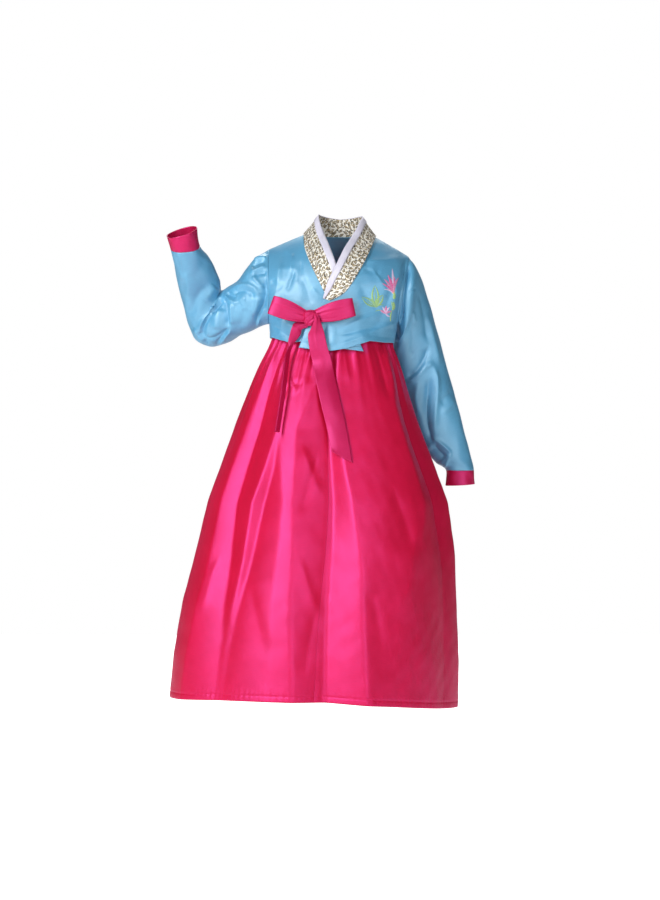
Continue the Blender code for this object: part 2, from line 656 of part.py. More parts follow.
def build_back():
    """The back, cut in one, its neckline nearly straight across between the shoulder seams."""
    outer = np.array([back_row(k) for k in range(BODY_ROWS)])
    armhole, side_seam = seam_flats(len(outer))
    shoulders = (slice(0, BACK_SIDE_COLUMNS + 1), slice(-BACK_SIDE_COLUMNS - 1, None))
    flat = [(armhole, edge, 0) for edge in (0, -1)] + [(side_seam, edge, 1) for edge in (0, -1)]
    flat += [(0, span, 1) for span in shoulders]
    cloth_piece("jeogori_back", outer, wall_inside(outer, WALL, side=-1.0, flat=flat), SKY_SATIN)


# ---- collar ------------------------------------------------------------------------------------------
def on_body(point, lift):
    """Fill in the coordinate of an edge point that lies on the lifted body."""
    x, y, z = point
    if z is None:
        return x, y, body_height(x, y, lift)
    if y is None:
        return x, -body_depth(x, z, lift), z
    return point


def collar_lift(k, x, z):
    """Height of the collar's outer face over the body near station k."""
    standing = smooth(k - STAND_FROM + 1.0) * smooth(STAND_TO + 1.0 - k)
    lift = UNDER_GIT + COLLAR_STAND * standing
    return lift + (overlap_lift(x, z) if k < OVER_COLLAR and z is not None else 0.0)


def collar_sheet():
    """Outer points of the collar: rows along it, columns from its outer edge to its inner edge."""
    stations = []
    for k, station in enumerate(COLLAR):
        lift = collar_lift(k, station.outer[0], station.outer[2])
        stations.append(on_body(station.outer, lift) + on_body(station.inner, lift))
    rows = []
    for k, edges in enumerate(curve_through(stations, GIT_STEPS)):
        outer, inner = edges[:3], edges[3:]
        row = []
        for share in GIT_COLUMNS:
            x, y, z = outer + (inner - outer) * share
            lift = collar_lift(k / GIT_STEPS, x, z)
            if y < 0.0:
                y = min(y, -body_depth(x, z, lift))
            else:
                y = max(y, body_depth(x, z, lift, front=False))
            row.append((x, y, z))
        rows.append(row)
    return np.array(rows)


def build_collar():
    """The brocade git, one band all round the neck, and the white dongjeong along its inner edge."""
    git = collar_sheet()
    cloth_piece("git", git, wall_inside(git, WALL, side=-1.0), GOLD_BROCADE)
    away = -sheet_normals(git, False)
    rows = slice(0, DONGJEONG_END * GIT_STEPS + 1)
    first = GIT_COLUMNS.index(1.0 - DONGJEONG_WIDTH)
    under = (git + away * LAY_GAP)[rows, first:]
    over = (git + away * (LAY_GAP + TRIM_WALL))[rows, first:]
    for face in (under, over):
        face[:, -1] += (git[rows, -1] - git[rows, -2]) * DONGJEONG_OVERHANG
    cloth_piece("dongjeong", over, under, WHITE_STRIP)


# ---- sleeves -----------------------------------------------------------------------------------------
def armhole_ring(side):
    """The armhole's edge as a ring: over the front from the shoulder tip to the underarm and back."""
    ring = []
    middle = 0.5 * (ARMHOLE_TOP_Z[side] + UNDERARM_Z)
    for k in range(SLEEVE_AROUND):
        turn = 2.0 * math.pi * k / SLEEVE_AROUND
        z = middle + (ARMHOLE_TOP_Z[side] - middle) * math.cos(turn)
        front = turn <= math.pi
        x = lean(z) + side * side_x(z, side)
        depth = body_depth(x, z, front=front)
        ring.append((x + side * SEAM_GAP, -depth if front else depth, z))
    return np.array(ring)


def section_ring(section, direction):
    """One ring of a sleeve, square to the direction that the sleeve runs in."""
    top = np.array((section.top[0], section.y, section.top[1]))
    bottom = np.array((section.bottom[0], section.y, section.bottom[1]))
    middle, half = 0.5 * (top + bottom), 0.5 * (top - bottom)
    run = np.array((half[2], 0.0, -half[0])) / np.linalg.norm(half)
    tilt = direction[1] * (run @ direction) / (direction @ direction)
    forward = run * tilt - np.array((0.0, 1.0, 0.0))
    forward *= section.depth / np.linalg.norm(forward)
    ring = []
    for k in range(SLEEVE_AROUND):
        turn = 2.0 * math.pi * k / SLEEVE_AROUND
        up, out = rounded(turn, SLEEVE_POWER)
        ring.append(middle + half * up + forward * out)
    return np.array(ring)


def tube_sheet(sections, first_ring, creases):
    """Rings of a sleeve from its armhole on through its sections, with its creases pressed in."""
    middles = np.array([(0.5 * (s.top[0] + s.bottom[0]), s.y, 0.5 * (s.top[1] + s.bottom[1]))
                        for s in sections])
    directions = np.gradient(middles, axis=0)
    rings = [first_ring] + [section_ring(s, d) for s, d in zip(sections, directions)]
    rings = np.array(rings)
    flat = curve_through(rings.reshape(len(rings), -1), SLEEVE_RINGS_EACH)
    sheet = flat.reshape(len(flat), SLEEVE_AROUND, 3)
    normals = sheet_normals(sheet, True)
    away = sheet - sheet.mean(axis=1, keepdims=True)
    normals *= np.sign((normals * away).sum(axis=2, keepdims=True))
    shift = np.zeros(sheet.shape[:2])
    for crease in creases:
        u = np.linspace(0.0, 1.0, len(sheet))[:, None] - crease.along
        v = np.arange(SLEEVE_AROUND)[None, :] / SLEEVE_AROUND - crease.around
        v = (v + 0.5) % 1.0 - 0.5
        across = (u - crease.slant * v * CREASE_SHEAR) / crease.length
        shift += crease.height * np.exp(-across ** 2 - (v / crease.width) ** 2)
    return sheet + normals * shift[:, :, None]


def build_sleeves():
    """Both sleeves, each in six lengths down to the cuff's seam, and the pink cuff bands beyond it."""
    for word, side, sections, creases, joins in (
            ("right", -1, RIGHT_SLEEVE, RIGHT_CREASES, RIGHT_JOINS),
            ("left", 1, LEFT_SLEEVE, LEFT_CREASES, LEFT_JOINS)):
        sheet = tube_sheet(sections, armhole_ring(side), creases)
        inner = wall_inside(sheet, WALL, True, -side, ((0, slice(None), 0),))
        lengths = [("sleeve_" + word + "_" + length, SKY_SATIN) for length in SLEEVE_LENGTHS]
        lengths.append(("cuff_" + word, PINK_RIBBON))
        stops = (0, *joins, len(sheet) - 1 - SLEEVE_RINGS_EACH, len(sheet) - 1)
        for (name, look), first, last in zip(lengths, stops, stops[1:]):
            faces = [sheet[first:last + 1].copy(), inner[first:last + 1].copy()]
            if first:
                step = faces[0][1] - faces[0][0]
                step *= SEAM_GAP / np.linalg.norm(step, axis=1, keepdims=True)
                for face in faces:
                    face[0] += step
            cloth_piece(name, *faces, look, closed=True)


# ---- skirt -------------------------------------------------------------------------------------------
def level_at(z):
    """The skirt's level ring at any height."""
    heights = [level.z for level in reversed(SKIRT_LEVELS)]
    columns = zip(*reversed(SKIRT_LEVELS))
    return Level(*(float(np.interp(z, heights, column)) for column in columns))


def fold_height(degrees, z):
    """Sum of the long folds at an angle and height, positive outwards."""
    total = 0.0
    for fold in SKIRT_FOLDS:
        drop = clamp((FOLD_WAIST_Z - z) / (FOLD_WAIST_Z - HEM_Z))
        centre = fold.waist + (fold.hem - fold.waist) * drop
        grown = smooth((fold.start - z) / (fold.start - fold.full))
        total += fold.height * grown * math.exp(-((degrees - centre) / fold.width) ** 2)
    return total


def gather_wave(degrees):
    """The gathers' wave, one crest and one trough in each, from -1 to 1."""
    return math.sin(math.radians(degrees) * GATHERS)


def skirt_point(degrees, z):
    """A point of the skirt's outer face. 0 is the wearer's left and 90 the front."""
    level = level_at(z)
    turn = math.radians(degrees)
    depth = level.front if degrees <= 180.0 else level.back
    cos, sin = rounded(turn, SKIRT_POWER)
    x, y = level.half * cos, -depth * sin
    normal = np.array((math.cos(turn) / level.half, -math.sin(turn) / depth))
    normal /= np.linalg.norm(normal)
    out = fold_height(degrees, z) + level.gather * gather_wave(degrees)
    return level.middle + x + normal[0] * out, y + normal[1] * out, z


def hem_shift(degrees, z):
    """How far the uneven hem moves a point up."""
    turn = math.radians(degrees)
    drop = clamp((FOLD_WAIST_Z - z) / (FOLD_WAIST_Z - HEM_Z))
    front = max(0.0, math.sin(turn)) ** 2
    return (HEM_TILT * math.cos(turn) + HEM_FRONT_RISE * front) * drop ** 2


def skirt_front(x, z):
    """Depth of the skirt's front over a point of the front view."""
    angles = np.arange(0.0, 180.0 + RESTING_STEP, RESTING_STEP)
    points = np.array([skirt_point(angle, z)[:2] for angle in angles])
    near = np.abs(points[:, 0] - x) < RESTING_BREADTH
    return -points[near, 1].min()


def build_skirt():
    """Four panels sewn up the front, the sides and the back, and gathered into the band."""
    degrees = np.arange(SKIRT_COLUMNS) * 360.0 / SKIRT_COLUMNS
    sheet = np.array([[skirt_point(angle, level.z) for angle in degrees] for level in SKIRT_LEVELS])
    for r, level in enumerate(SKIRT_LEVELS):
        for c, angle in enumerate(degrees):
            sheet[r, c, 2] += hem_shift(angle, level.z)
    flat = ((0, slice(None), 2),)
    inner = wall_inside(sheet, WALL, closed=True, side=-1.0, flat=flat)
    along_ring = np.roll(sheet, -1, axis=1) - np.roll(sheet, 1, axis=1)
    along_ring /= np.linalg.norm(along_ring, axis=2, keepdims=True)
    for k, name in enumerate(SKIRT_PANELS):
        columns = [(k * PANEL_COLUMNS + c) % SKIRT_COLUMNS for c in range(PANEL_COLUMNS + 1)]
        faces = []
        for face in (sheet, inner):
            panel = face[:, columns].copy()
            panel[:, 0] += along_ring[:, columns[0]] * SEAM_GAP / 2
            panel[:, -1] -= along_ring[:, columns[-1]] * SEAM_GAP / 2
            faces.append(panel)
        cloth_piece(name, *faces, MAGENTA_SATIN)


def band_point(degrees, z):
    """A point of the band's outer face."""
    top = SKIRT_LEVELS[0]
    depth = top.front if degrees <= 180.0 else top.back
    cos, sin = rounded(math.radians(degrees), SKIRT_POWER)
    return top.middle + top.half * cos, -depth * sin, z


def build_band():
    """The malgi that the skirt is gathered into, hidden under the jacket."""
    degrees = np.arange(BAND_COLUMNS) * 360.0 / BAND_COLUMNS
    sheet = np.array([[band_point(angle, z) for angle in degrees] for z in (BAND_TOP, BAND_BOTTOM)])
    cloth_piece("chima_band", sheet, wall_inside(sheet, WALL, closed=True), WHITE_COTTON, closed=True)


def band_depth(x, front):
    """Depth of the band's outer face at x."""
    top = SKIRT_LEVELS[0]
    share = clamp(abs(x - top.middle) / top.half)
    depth = top.front if front else top.back
    return depth * (1.0 - share ** SKIRT_POWER) ** (1.0 / SKIRT_POWER)


def build_straps():
    """Two shoulder straps that carry the skirt, from the band over the shoulder to the band again."""
    foot = BAND_TOP + SEAM_GAP
    for name, side in (("chima_strap_right", -1), ("chima_strap_left", 1)):
        rows = []
        for step in range(-STRAP_STEPS, STRAP_STEPS + 1):
            share = (abs(step) / STRAP_STEPS) ** STRAP_SPREAD
            middle = STRAP_AT_SHOULDER + (STRAP_AT_BAND - STRAP_AT_SHOULDER) * smooth(share)
            front = step < 0
            row = []
            for edge in (-0.5, 0.0, 0.5):
                x = side * middle + edge * STRAP_WIDTH
                crest = shoulder_line(x) + STRAP_UNDER
                z = crest + (foot - crest) * share
                x += lean(z)
                blend = smooth(2.0 * share - 1.0)
                depth = body_depth(x, z, STRAP_UNDER, front) * (1.0 - blend)
                depth += band_depth(x, front) * blend
                depth = 0.0 if step == 0 else depth
                row.append((x, -depth if front else depth, z))
            rows.append(row)
        sheet = np.array(rows)
        flat = ((0, slice(None), 2), (-1, slice(None), 2))
        cloth_piece(name, sheet, wall_inside(sheet, RIBBON_WALL, side=1.0, flat=flat), WHITE_COTTON)


# ---- bow ---------------------------------------------------------------------------------------------
def jacket_front(x, z):
    """Depth of the jacket's outermost front face."""
    return body_depth(x, z, overlap_lift(x, z))


def knot_y():
    """y of the knot's middle: it rests on the over front."""
    deepest = max(jacket_front(KNOT[0] + dx, KNOT[1] + dz)
                  for dx in (-KNOT_HALF[0], 0.0, KNOT_HALF[0]) for dz in (-KNOT_SEAT, 0.0, KNOT_SEAT))
    return -(deepest + LAY_GAP + KNOT_HALF[1])


def build_knot():
    """The knot, cloth pulled tight into a solid lump."""
    rings = []
    for share in KNOT_RINGS:
        size = math.sqrt(max(KNOT_END, 1.0 - abs(share) ** KNOT_TAPER))
        ring = []
        for k in range(KNOT_AROUND):
            turn = 2.0 * math.pi * k / KNOT_AROUND
            cos, sin = rounded(turn, KNOT_POWER)
            ring.append((KNOT[0] + KNOT_HALF[0] * size * cos, knot_y() + KNOT_HALF[1] * size * sin,
                         KNOT[1] + KNOT_HALF[2] * share))
        rings.append(ring)
    bm = bmesh.new()
    verts = [[bm.verts.new(point) for point in ring] for ring in rings]
    for low, high in zip(verts, verts[1:]):
        for k in range(KNOT_AROUND):
            j = (k + 1) % KNOT_AROUND
            bm.faces.new((low[k], low[j], high[j], high[k]))
    bm.faces.new(verts[0][::-1])
    bm.faces.new(verts[-1])
    finish("goreum_knot", bm, PINK_RIBBON)


def build_loops():
    """Each loop leaves the knot behind, turns at its end and comes back in front."""
    for name, loop in LOOPS.items():
        rows = []
        for step in range(LOOP_STEPS + 1):
            share = step / LOOP_STEPS
            turn = 2.0 * math.pi * share
            reach = 0.5 * (1.0 - math.cos(turn))
            swell = loop.depth * 0.5 * math.sin(turn) * math.sin(turn / 2.0)
            x = loop.root[0] + (loop.end[0] - loop.root[0]) * reach
            z = loop.root[1] + (loop.end[1] - loop.root[1]) * reach
            height = loop.root_height + (loop.end_height - loop.root_height) * reach ** LOOP_OPENING
            back = -(jacket_front(x, z) + LAY_GAP + RIBBON_WALL)
            middle = min(knot_y(), back - loop.depth * LOOP_STAND * math.sqrt(math.sin(math.pi * reach)))
            y = middle + swell + LOOP_LAYER_GAP * (0.5 - share)
            row = []
            for c in range(LOOP_ACROSS + 1):
                up = c / LOOP_ACROSS - 0.5
                edge = z + up * height
                clear = -(jacket_front(x, edge) + LAY_GAP + RIBBON_WALL)
                row.append((x, min(y, clear) if share < 0.5 else y, edge))
            rows.append(row)
        sheet = np.array(rows)
        side = 1.0 if loop.end[0] < loop.root[0] else -1.0
        cloth_piece(name, sheet, wall_inside(sheet, RIBBON_WALL, side=side), PINK_RIBBON)


def cloth_front(x, z):
    """Depth of whatever hangs outermost at a point of the front view: the jacket or the skirt."""
    skirt = skirt_front(x, z)
    hem = along(LEFT_HEM, x) if x > LEFT_HEM[0][0] else along(RIGHT_HEM, x)
    if z < hem - TAIL_DROP_PAST_HEM:
        return skirt
    return max(skirt, jacket_front(x, z))


def build_tails():
    """The two hanging ends: the broad one down the front and the one that hangs edge-on beside it."""
    for name, stations in (("goreum_tail_front", FRONT_TAIL), ("goreum_tail_side", SIDE_TAIL)):
        edges = []
        for s in stations:
            near = (s.near[0], -cloth_front(*s.near) - s.near_off, s.near[1])
            far = (s.far[0], -cloth_front(*s.far) - s.far_off, s.far[1])
            edges.append(near + far)
        rows = []
        for pair in curve_through(edges, TAIL_STEPS):
            near, far = pair[:3], pair[3:]
            row = []
            for c in range(TAIL_ACROSS + 1):
                share = c / TAIL_ACROSS
                point = near + (far - near) * share
                point[1] -= TAIL_BELLY * math.sin(math.pi * share)
                row.append(point)
            rows.append(row)
        sheet = np.array(rows)
        cloth_piece(name, sheet, wall_inside(sheet, RIBBON_WALL, side=-1.0), PINK_RIBBON)


def main():
    for piece in list(bpy.data.objects):
        bpy.data.objects.remove(piece, do_unlink=True)
    build_back()
    build_fronts()
    build_collar()
    build_sleeves()
    build_band()
    build_straps()
    build_skirt()
    build_knot()
    build_loops()
    build_tails()


main()
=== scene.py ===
"""A child's hanbok, dressed: fine satin, brocade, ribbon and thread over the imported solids.

The form follows the solids' own sizes: metres, +Z up, the front faces -Y and +X is the wearer's left,
with the origin in the middle of the neck opening at the height of the shoulders.
"""

import logging
import math
from dataclasses import dataclass, replace
from enum import Enum
from typing import Callable, NamedTuple, Sequence

import bmesh
import bpy
import numpy as np
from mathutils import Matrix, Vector
from mathutils.bvhtree import BVHTree


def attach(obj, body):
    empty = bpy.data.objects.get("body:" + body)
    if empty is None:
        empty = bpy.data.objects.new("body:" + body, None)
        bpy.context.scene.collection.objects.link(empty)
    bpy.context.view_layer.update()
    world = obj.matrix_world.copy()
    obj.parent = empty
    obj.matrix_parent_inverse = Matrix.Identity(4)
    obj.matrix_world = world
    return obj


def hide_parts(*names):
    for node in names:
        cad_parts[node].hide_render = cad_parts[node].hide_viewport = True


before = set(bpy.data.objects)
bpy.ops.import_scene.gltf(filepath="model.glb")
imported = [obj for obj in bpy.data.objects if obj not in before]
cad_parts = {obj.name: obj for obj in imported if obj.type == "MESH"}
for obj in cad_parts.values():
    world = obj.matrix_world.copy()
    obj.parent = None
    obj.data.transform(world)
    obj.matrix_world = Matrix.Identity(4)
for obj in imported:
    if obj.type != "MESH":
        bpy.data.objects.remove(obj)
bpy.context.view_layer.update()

log = logging.getLogger("hanbok")

Array = np.ndarray
Point2 = Pair = tuple[float, float]
Colour = Triple = tuple[float, float, float]

# ---- cloth -------------------------------------------------------------------------------------------
WALL = 0.0014                     # satin with its backing
TRIM_WALL = 0.001                 # the white collar strip
RIBBON_WALL = 0.0012              # the ribbons and the straps
SEAM_GAP = 0.0003                 # air between two edges that are sewn together
LAY_GAP = 0.0005                  # air between a layer and the one it lies on
CRISP_ANGLE = math.radians(40.0)  # crisp cloth shows an edge where it turns by more
UPRIGHT = 0.6                     # an edge that rises by more of its length runs down the cloth
MERGE = 1e-7                      # points nearer than this are one
SETTLE = 14                       # rounds in which a point settles onto its row
RUMPLE_WAVES = 10
RUMPLE_SPREAD = (0.65, 1.6)  # shortest and longest wave of a rumple, over its mean
CREASE_WIDTH = (0.55, 0.9)   # a crease's width at its start, and how much it widens
CREASE_ENDS, FOLD_ENDS = (0.3, 0.15), (0.22, 0.1)  # share over which the ends fade, height they keep
FOLD_STEPS = 6               # points from one given point of a fold's path to the next


class Side(Enum):
    """A side of the wearer, with its direction along X."""

    RIGHT = -1
    LEFT = 1


# ---- small helpers -----------------------------------------------------------------------------------
def clamp(value: Array | float, low: float = 0.0, high: float = 1.0) -> Array:
    """Hold a value between two ends."""
    return np.minimum(high, np.maximum(low, value))


def smooth(value: Array | float) -> Array:
    """Ease from 0 to 1."""
    value = clamp(value)
    return value * value * (3.0 - 2.0 * value)


def rounded(turn: Array | float, power: float) -> tuple[Array, Array]:
    """A point of a superellipse's unit outline.

    Args:
        turn: The angle in radians.
        power: 2 gives a circle, more squares it off.

    Returns:
        Its cosine and its sine.
    """
    cos, sin = np.cos(turn), np.sin(turn)
    return (np.sign(cos) * np.abs(cos) ** (2.0 / power),
            np.sign(sin) * np.abs(sin) ** (2.0 / power))


def along(table: Sequence[Point2], value: Array | float) -> Array:
    """Read a two-column table at a value, held at its ends."""
    rows = sorted(table)
    return np.interp(value, [row[0] for row in rows], [row[1] for row in rows])


def table_of(kind: type, *rows: tuple) -> tuple:
    """Make each row of a table one of a kind."""
    return tuple(kind(*row) for row in rows)


def curve_through(points: Array, steps: int) -> Array:
    """Points of a smooth curve through the given ones.

    Args:
        points: One row for each point, with any number of columns.
        steps: Points from each given one to the next.

    Returns:
        The curve's points, the last one included.
    """
    points = np.asarray(points, dtype=float)
    padded = np.vstack([2 * points[0] - points[1], points, 2 * points[-1] - points[-2]])
    p0, p1, p2, p3 = padded[:-3], padded[1:-2], padded[2:-1], padded[3:]
    result = []
    for t in np.arange(steps) / steps:
        result.append(0.5 * (2 * p1 + (p2 - p0) * t + (2 * p0 - 5 * p1 + 4 * p2 - p3) * t ** 2
                             + (3 * p1 - p0 - 3 * p2 + p3) * t ** 3))
    woven = np.stack(result, axis=1).reshape(-1, points.shape[1])
    return np.vstack([woven, points[-1]])


def sheet_normals(points: Array, closed: bool = False) -> Array:
    """Unit normals of a grid of points.

    Args:
        points: Rows by columns by three.
        closed: Whether its last column meets its first.

    Returns:
        A normal for each point.
    """
    if closed:
        across = np.roll(points, -1, axis=1) - np.roll(points, 1, axis=1)
    else:
        across = np.gradient(points, axis=1)
    normals = np.cross(across, np.gradient(points, axis=0))
    return normals / np.maximum(np.linalg.norm(normals, axis=2, keepdims=True), 1e-12)


def rumple(a: Array, b: Array, wave: float, seed: int) -> Array:
    """Uneven waves over a plane, the same each run.

    Args:
        a: First coordinate.
        b: Second coordinate.
        wave: Mean length of a wave, in the coordinates' unit.
        seed: Picks the pattern.

    Returns:
        Heights of about -1 to 1.
    """
    draw = np.random.default_rng(seed)
    total = np.zeros(np.broadcast(a, b).shape)
    for _ in range(RUMPLE_WAVES):
        heading, phase = draw.uniform(0.0, 2.0 * math.pi, 2)
        length = wave * draw.uniform(*RUMPLE_SPREAD)
        total += np.sin(2.0 * math.pi * (a * math.cos(heading) + b * math.sin(heading)) / length + phase)
    return total / math.sqrt(2.0 * RUMPLE_WAVES)


def fading(share: Array, ends: Pair) -> Array:
    """Fade towards both ends of a line.

    Args:
        share: Share of the way along it.
        ends: Share over which it fades, and the height that an end keeps.

    Returns:
        1 in the middle.
    """
    reach, kept = ends
    return smooth(share / reach + kept) * smooth((1.0 - share) / reach + kept)


@dataclass(frozen=True)
class Crease:
    """A soft ridge, or a trough where its height is negative, along a line in its piece's own plane.

    crest sharpens its top as it goes from 2 to 1. tilt makes one flank steeper than the other.
    """

    start: Point2
    end: Point2
    width: float
    height: float
    crest: float = 1.6
    tilt: float = 0.0

    def over(self, a: Array, b: Array) -> Array:
        """Height of the crease over points of the plane.

        Args:
            a: Their first coordinate.
            b: Their second.

        Returns:
            The heights.
        """
        run = np.subtract(self.end, self.start)
        length = float(np.hypot(*run))
        run = run / length
        share = ((a - self.start[0]) * run[0] + (b - self.start[1]) * run[1]) / length
        off = (a - self.start[0]) * run[1] - (b - self.start[1]) * run[0]
        first, more = CREASE_WIDTH
        width = self.width * (1.0 + self.tilt * np.sign(off)) * (first + more * clamp(share))
        return self.height * fading(share, CREASE_ENDS) * np.exp(-np.abs(off / width) ** self.crest)


@dataclass(frozen=True)
class Fold:
    """A fold along a bent line in front view: a ridge, or a valley where its height is negative.

    crest and tilt are as a crease's; a positive tilt widens the flank on the right of its run.
    """

    width: float
    height: float
    crest: float
    tilt: float
    path: tuple[Point2, ...]

    def over(self, a: Array, b: Array) -> Array:
        """Height of the fold over points of the plane.

        Args:
            a: Their first coordinate.
            b: Their second.

        Returns:
            The heights.
        """
        path = curve_through(np.array(self.path), FOLD_STEPS)
        steps = np.diff(path, axis=0)
        reach = np.hypot(*steps.T)
        starts = np.concatenate([[0.0], np.cumsum(reach)])
        nearest = np.full(np.broadcast(a, b).shape, np.inf)
        off, share = np.zeros_like(nearest), np.zeros_like(nearest)
        for begin, step, size, start in zip(path[:-1], steps, reach, starts):
            run = step / size
            along_run = (a - begin[0]) * run[0] + (b - begin[1]) * run[1]
            side = (a - begin[0]) * run[1] - (b - begin[1]) * run[0]
            over = along_run - clamp(along_run, 0.0, size)
            far = np.hypot(side, over)
            closer = far < nearest
            nearest = np.where(closer, far, nearest)
            off = np.where(closer, np.copysign(far, side), off)
            share = np.where(closer, (start + clamp(along_run, 0.0, size)) / starts[-1], share)
        width = self.width * (1.0 + self.tilt * np.sign(off))
        return self.height * fading(share, FOLD_ENDS) * np.exp(-np.abs(off / width) ** self.crest)


def creased(creases: Sequence[Crease | Fold], a: Array, b: Array) -> Array:
    """Sum of the creases over points of the plane."""
    return sum((crease.over(a, b) for crease in creases), np.zeros(np.broadcast(a, b).shape))


# ---- meshes ------------------------------------------------------------------------------------------
def lengths(points: Array, axis: int) -> Array:
    """Distance along a grid of points from its first row or column.

    Args:
        points: Rows by columns by three.
        axis: 0 to go from row to row, 1 from column to column.

    Returns:
        A distance for each point.
    """
    steps = np.linalg.norm(np.diff(points, axis=axis), axis=2)
    total = np.cumsum(steps, axis=axis)
    start = np.zeros_like(np.take(total, [0], axis=axis))
    return np.concatenate([start, total], axis=axis)


def lay_grid(bm: bmesh.types.BMesh, points: Array, marks: Array, closed: bool = False) -> None:
    """Lay a grid of faces over a grid of points.

    Args:
        bm: Where it goes, empty so far.
        points: Where its vertices go, rows by columns by three.
        marks: Its UVs, with one column more where it is closed.
        closed: Whether its last column meets its first.
    """
    rows, columns = points.shape[:2]
    spans = columns if closed else columns - 1
    layer = bm.loops.layers.uv.verify()
    bmesh.ops.create_grid(bm, x_segments=spans, y_segments=rows - 1, size=0.5, calc_uvs=True)
    places, marks = points.tolist(), marks.tolist()
    for face in bm.faces:
        for loop in face.loops:
            spot = loop[layer].uv
            column, row = round(spot.x * spans), round(spot.y * (rows - 1))
            loop[layer].uv = marks[row][column]
            loop.vert.co = places[row][column % columns]
    if closed:
        bmesh.ops.remove_doubles(bm, verts=bm.verts, dist=MERGE)
    bm.normal_update()


def new_object(name: str, bm: bmesh.types.BMesh, *materials: bpy.types.Material) -> bpy.types.Object:
    """Turn a bmesh into a smooth object in the scene.

    Args:
        name: What it is called.
        bm: Its shape, which is freed.
        materials: What it is made of.

    Returns:
        The object, at the origin.
    """
    mesh = bpy.data.meshes.new(name)
    bm.to_mesh(mesh)
    bm.free()
    mesh.shade_smooth()
    for material in materials:
        mesh.materials.append(material)
    made = bpy.data.objects.new(name, mesh)
    bpy.context.scene.collection.objects.link(made)
    return made


@dataclass
class Cloth:
    """One sheet of cloth on a grid of points, its rows along V and its columns along U."""

    name: str
    points: Array
    outward: Triple | None  # None: away from its own middle
    wall: float = WALL
    closed: bool = False
    crisp: bool = False     # whether its sides and sharp turns show as edges

    def metric_uv(self) -> Array:
        """U and V of each point.

        Returns:
            Lengths on the cloth, in metres.
        """
        points = self.points
        if self.closed:
            points = np.concatenate([points, points[:, :1]], axis=1)
        across, down = lengths(points, 1), lengths(points, 0)
        across = across - across.mean(axis=1, keepdims=True)
        return np.stack([across, down.mean(axis=1, keepdims=True) + 0.0 * down], axis=2)

    def build(self, material: bpy.types.Material) -> bpy.types.Object:
        """Make the object: a grid moved onto its points, then given its wall.

        Args:
            material: What the cloth is made of.

        Returns:
            The object, at the origin.
        """
        bm = bmesh.new()
        lay_grid(bm, self.points, self.metric_uv(), self.closed)
        if self.crisp:
            for edge in bm.edges:
                run = edge.verts[1].co - edge.verts[0].co
                aside = edge.is_boundary and abs(run.z) > UPRIGHT * run.length
                edge.smooth = not (aside or edge.calc_face_angle(0.0) > CRISP_ANGLE)
        if self.outward is None:
            middle = sum((vert.co for vert in bm.verts), Vector()) / len(bm.verts)
            turned = sum((face.calc_center_median() - middle).dot(face.normal) for face in bm.faces)
        else:
            facing = sum((face.normal * face.calc_area() for face in bm.faces), Vector())
            turned = facing.dot(Vector(self.outward))
        if turned < 0.0:
            bmesh.ops.reverse_faces(bm, faces=bm.faces)
        piece = new_object(self.name, bm, material)
        wall = piece.modifiers.new("wall", "SOLIDIFY")
        wall.thickness = self.wall
        wall.offset = -1.0
        wall.use_even_offset = False
        return piece


@dataclass(frozen=True)
class Cut:
    """How a sheet was cut before it was sewn: its width and length, and its area where it isn't square."""

    width: float
    length: float
    area: float
    held: str
    rests_on: tuple[str, ...]


def hand_over(piece: bpy.types.Object, slot: str, cut: Cut | None, *nodes: str) -> bpy.types.Object:
    """Hang a piece on the root, hide the solids that it stands for, and log its faces.

    Args:
        piece: The piece.
        slot: Its material slot; not used.
        cut: Its cut, where it is a sheet; not used.
        nodes: The solids that it stands for.

    Returns:
        The piece.
    """
    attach(piece, "root")
    if nodes:
        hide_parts(*nodes)
    log.info("%s: %d faces", piece.name, len(piece.data.polygons))
    return piece


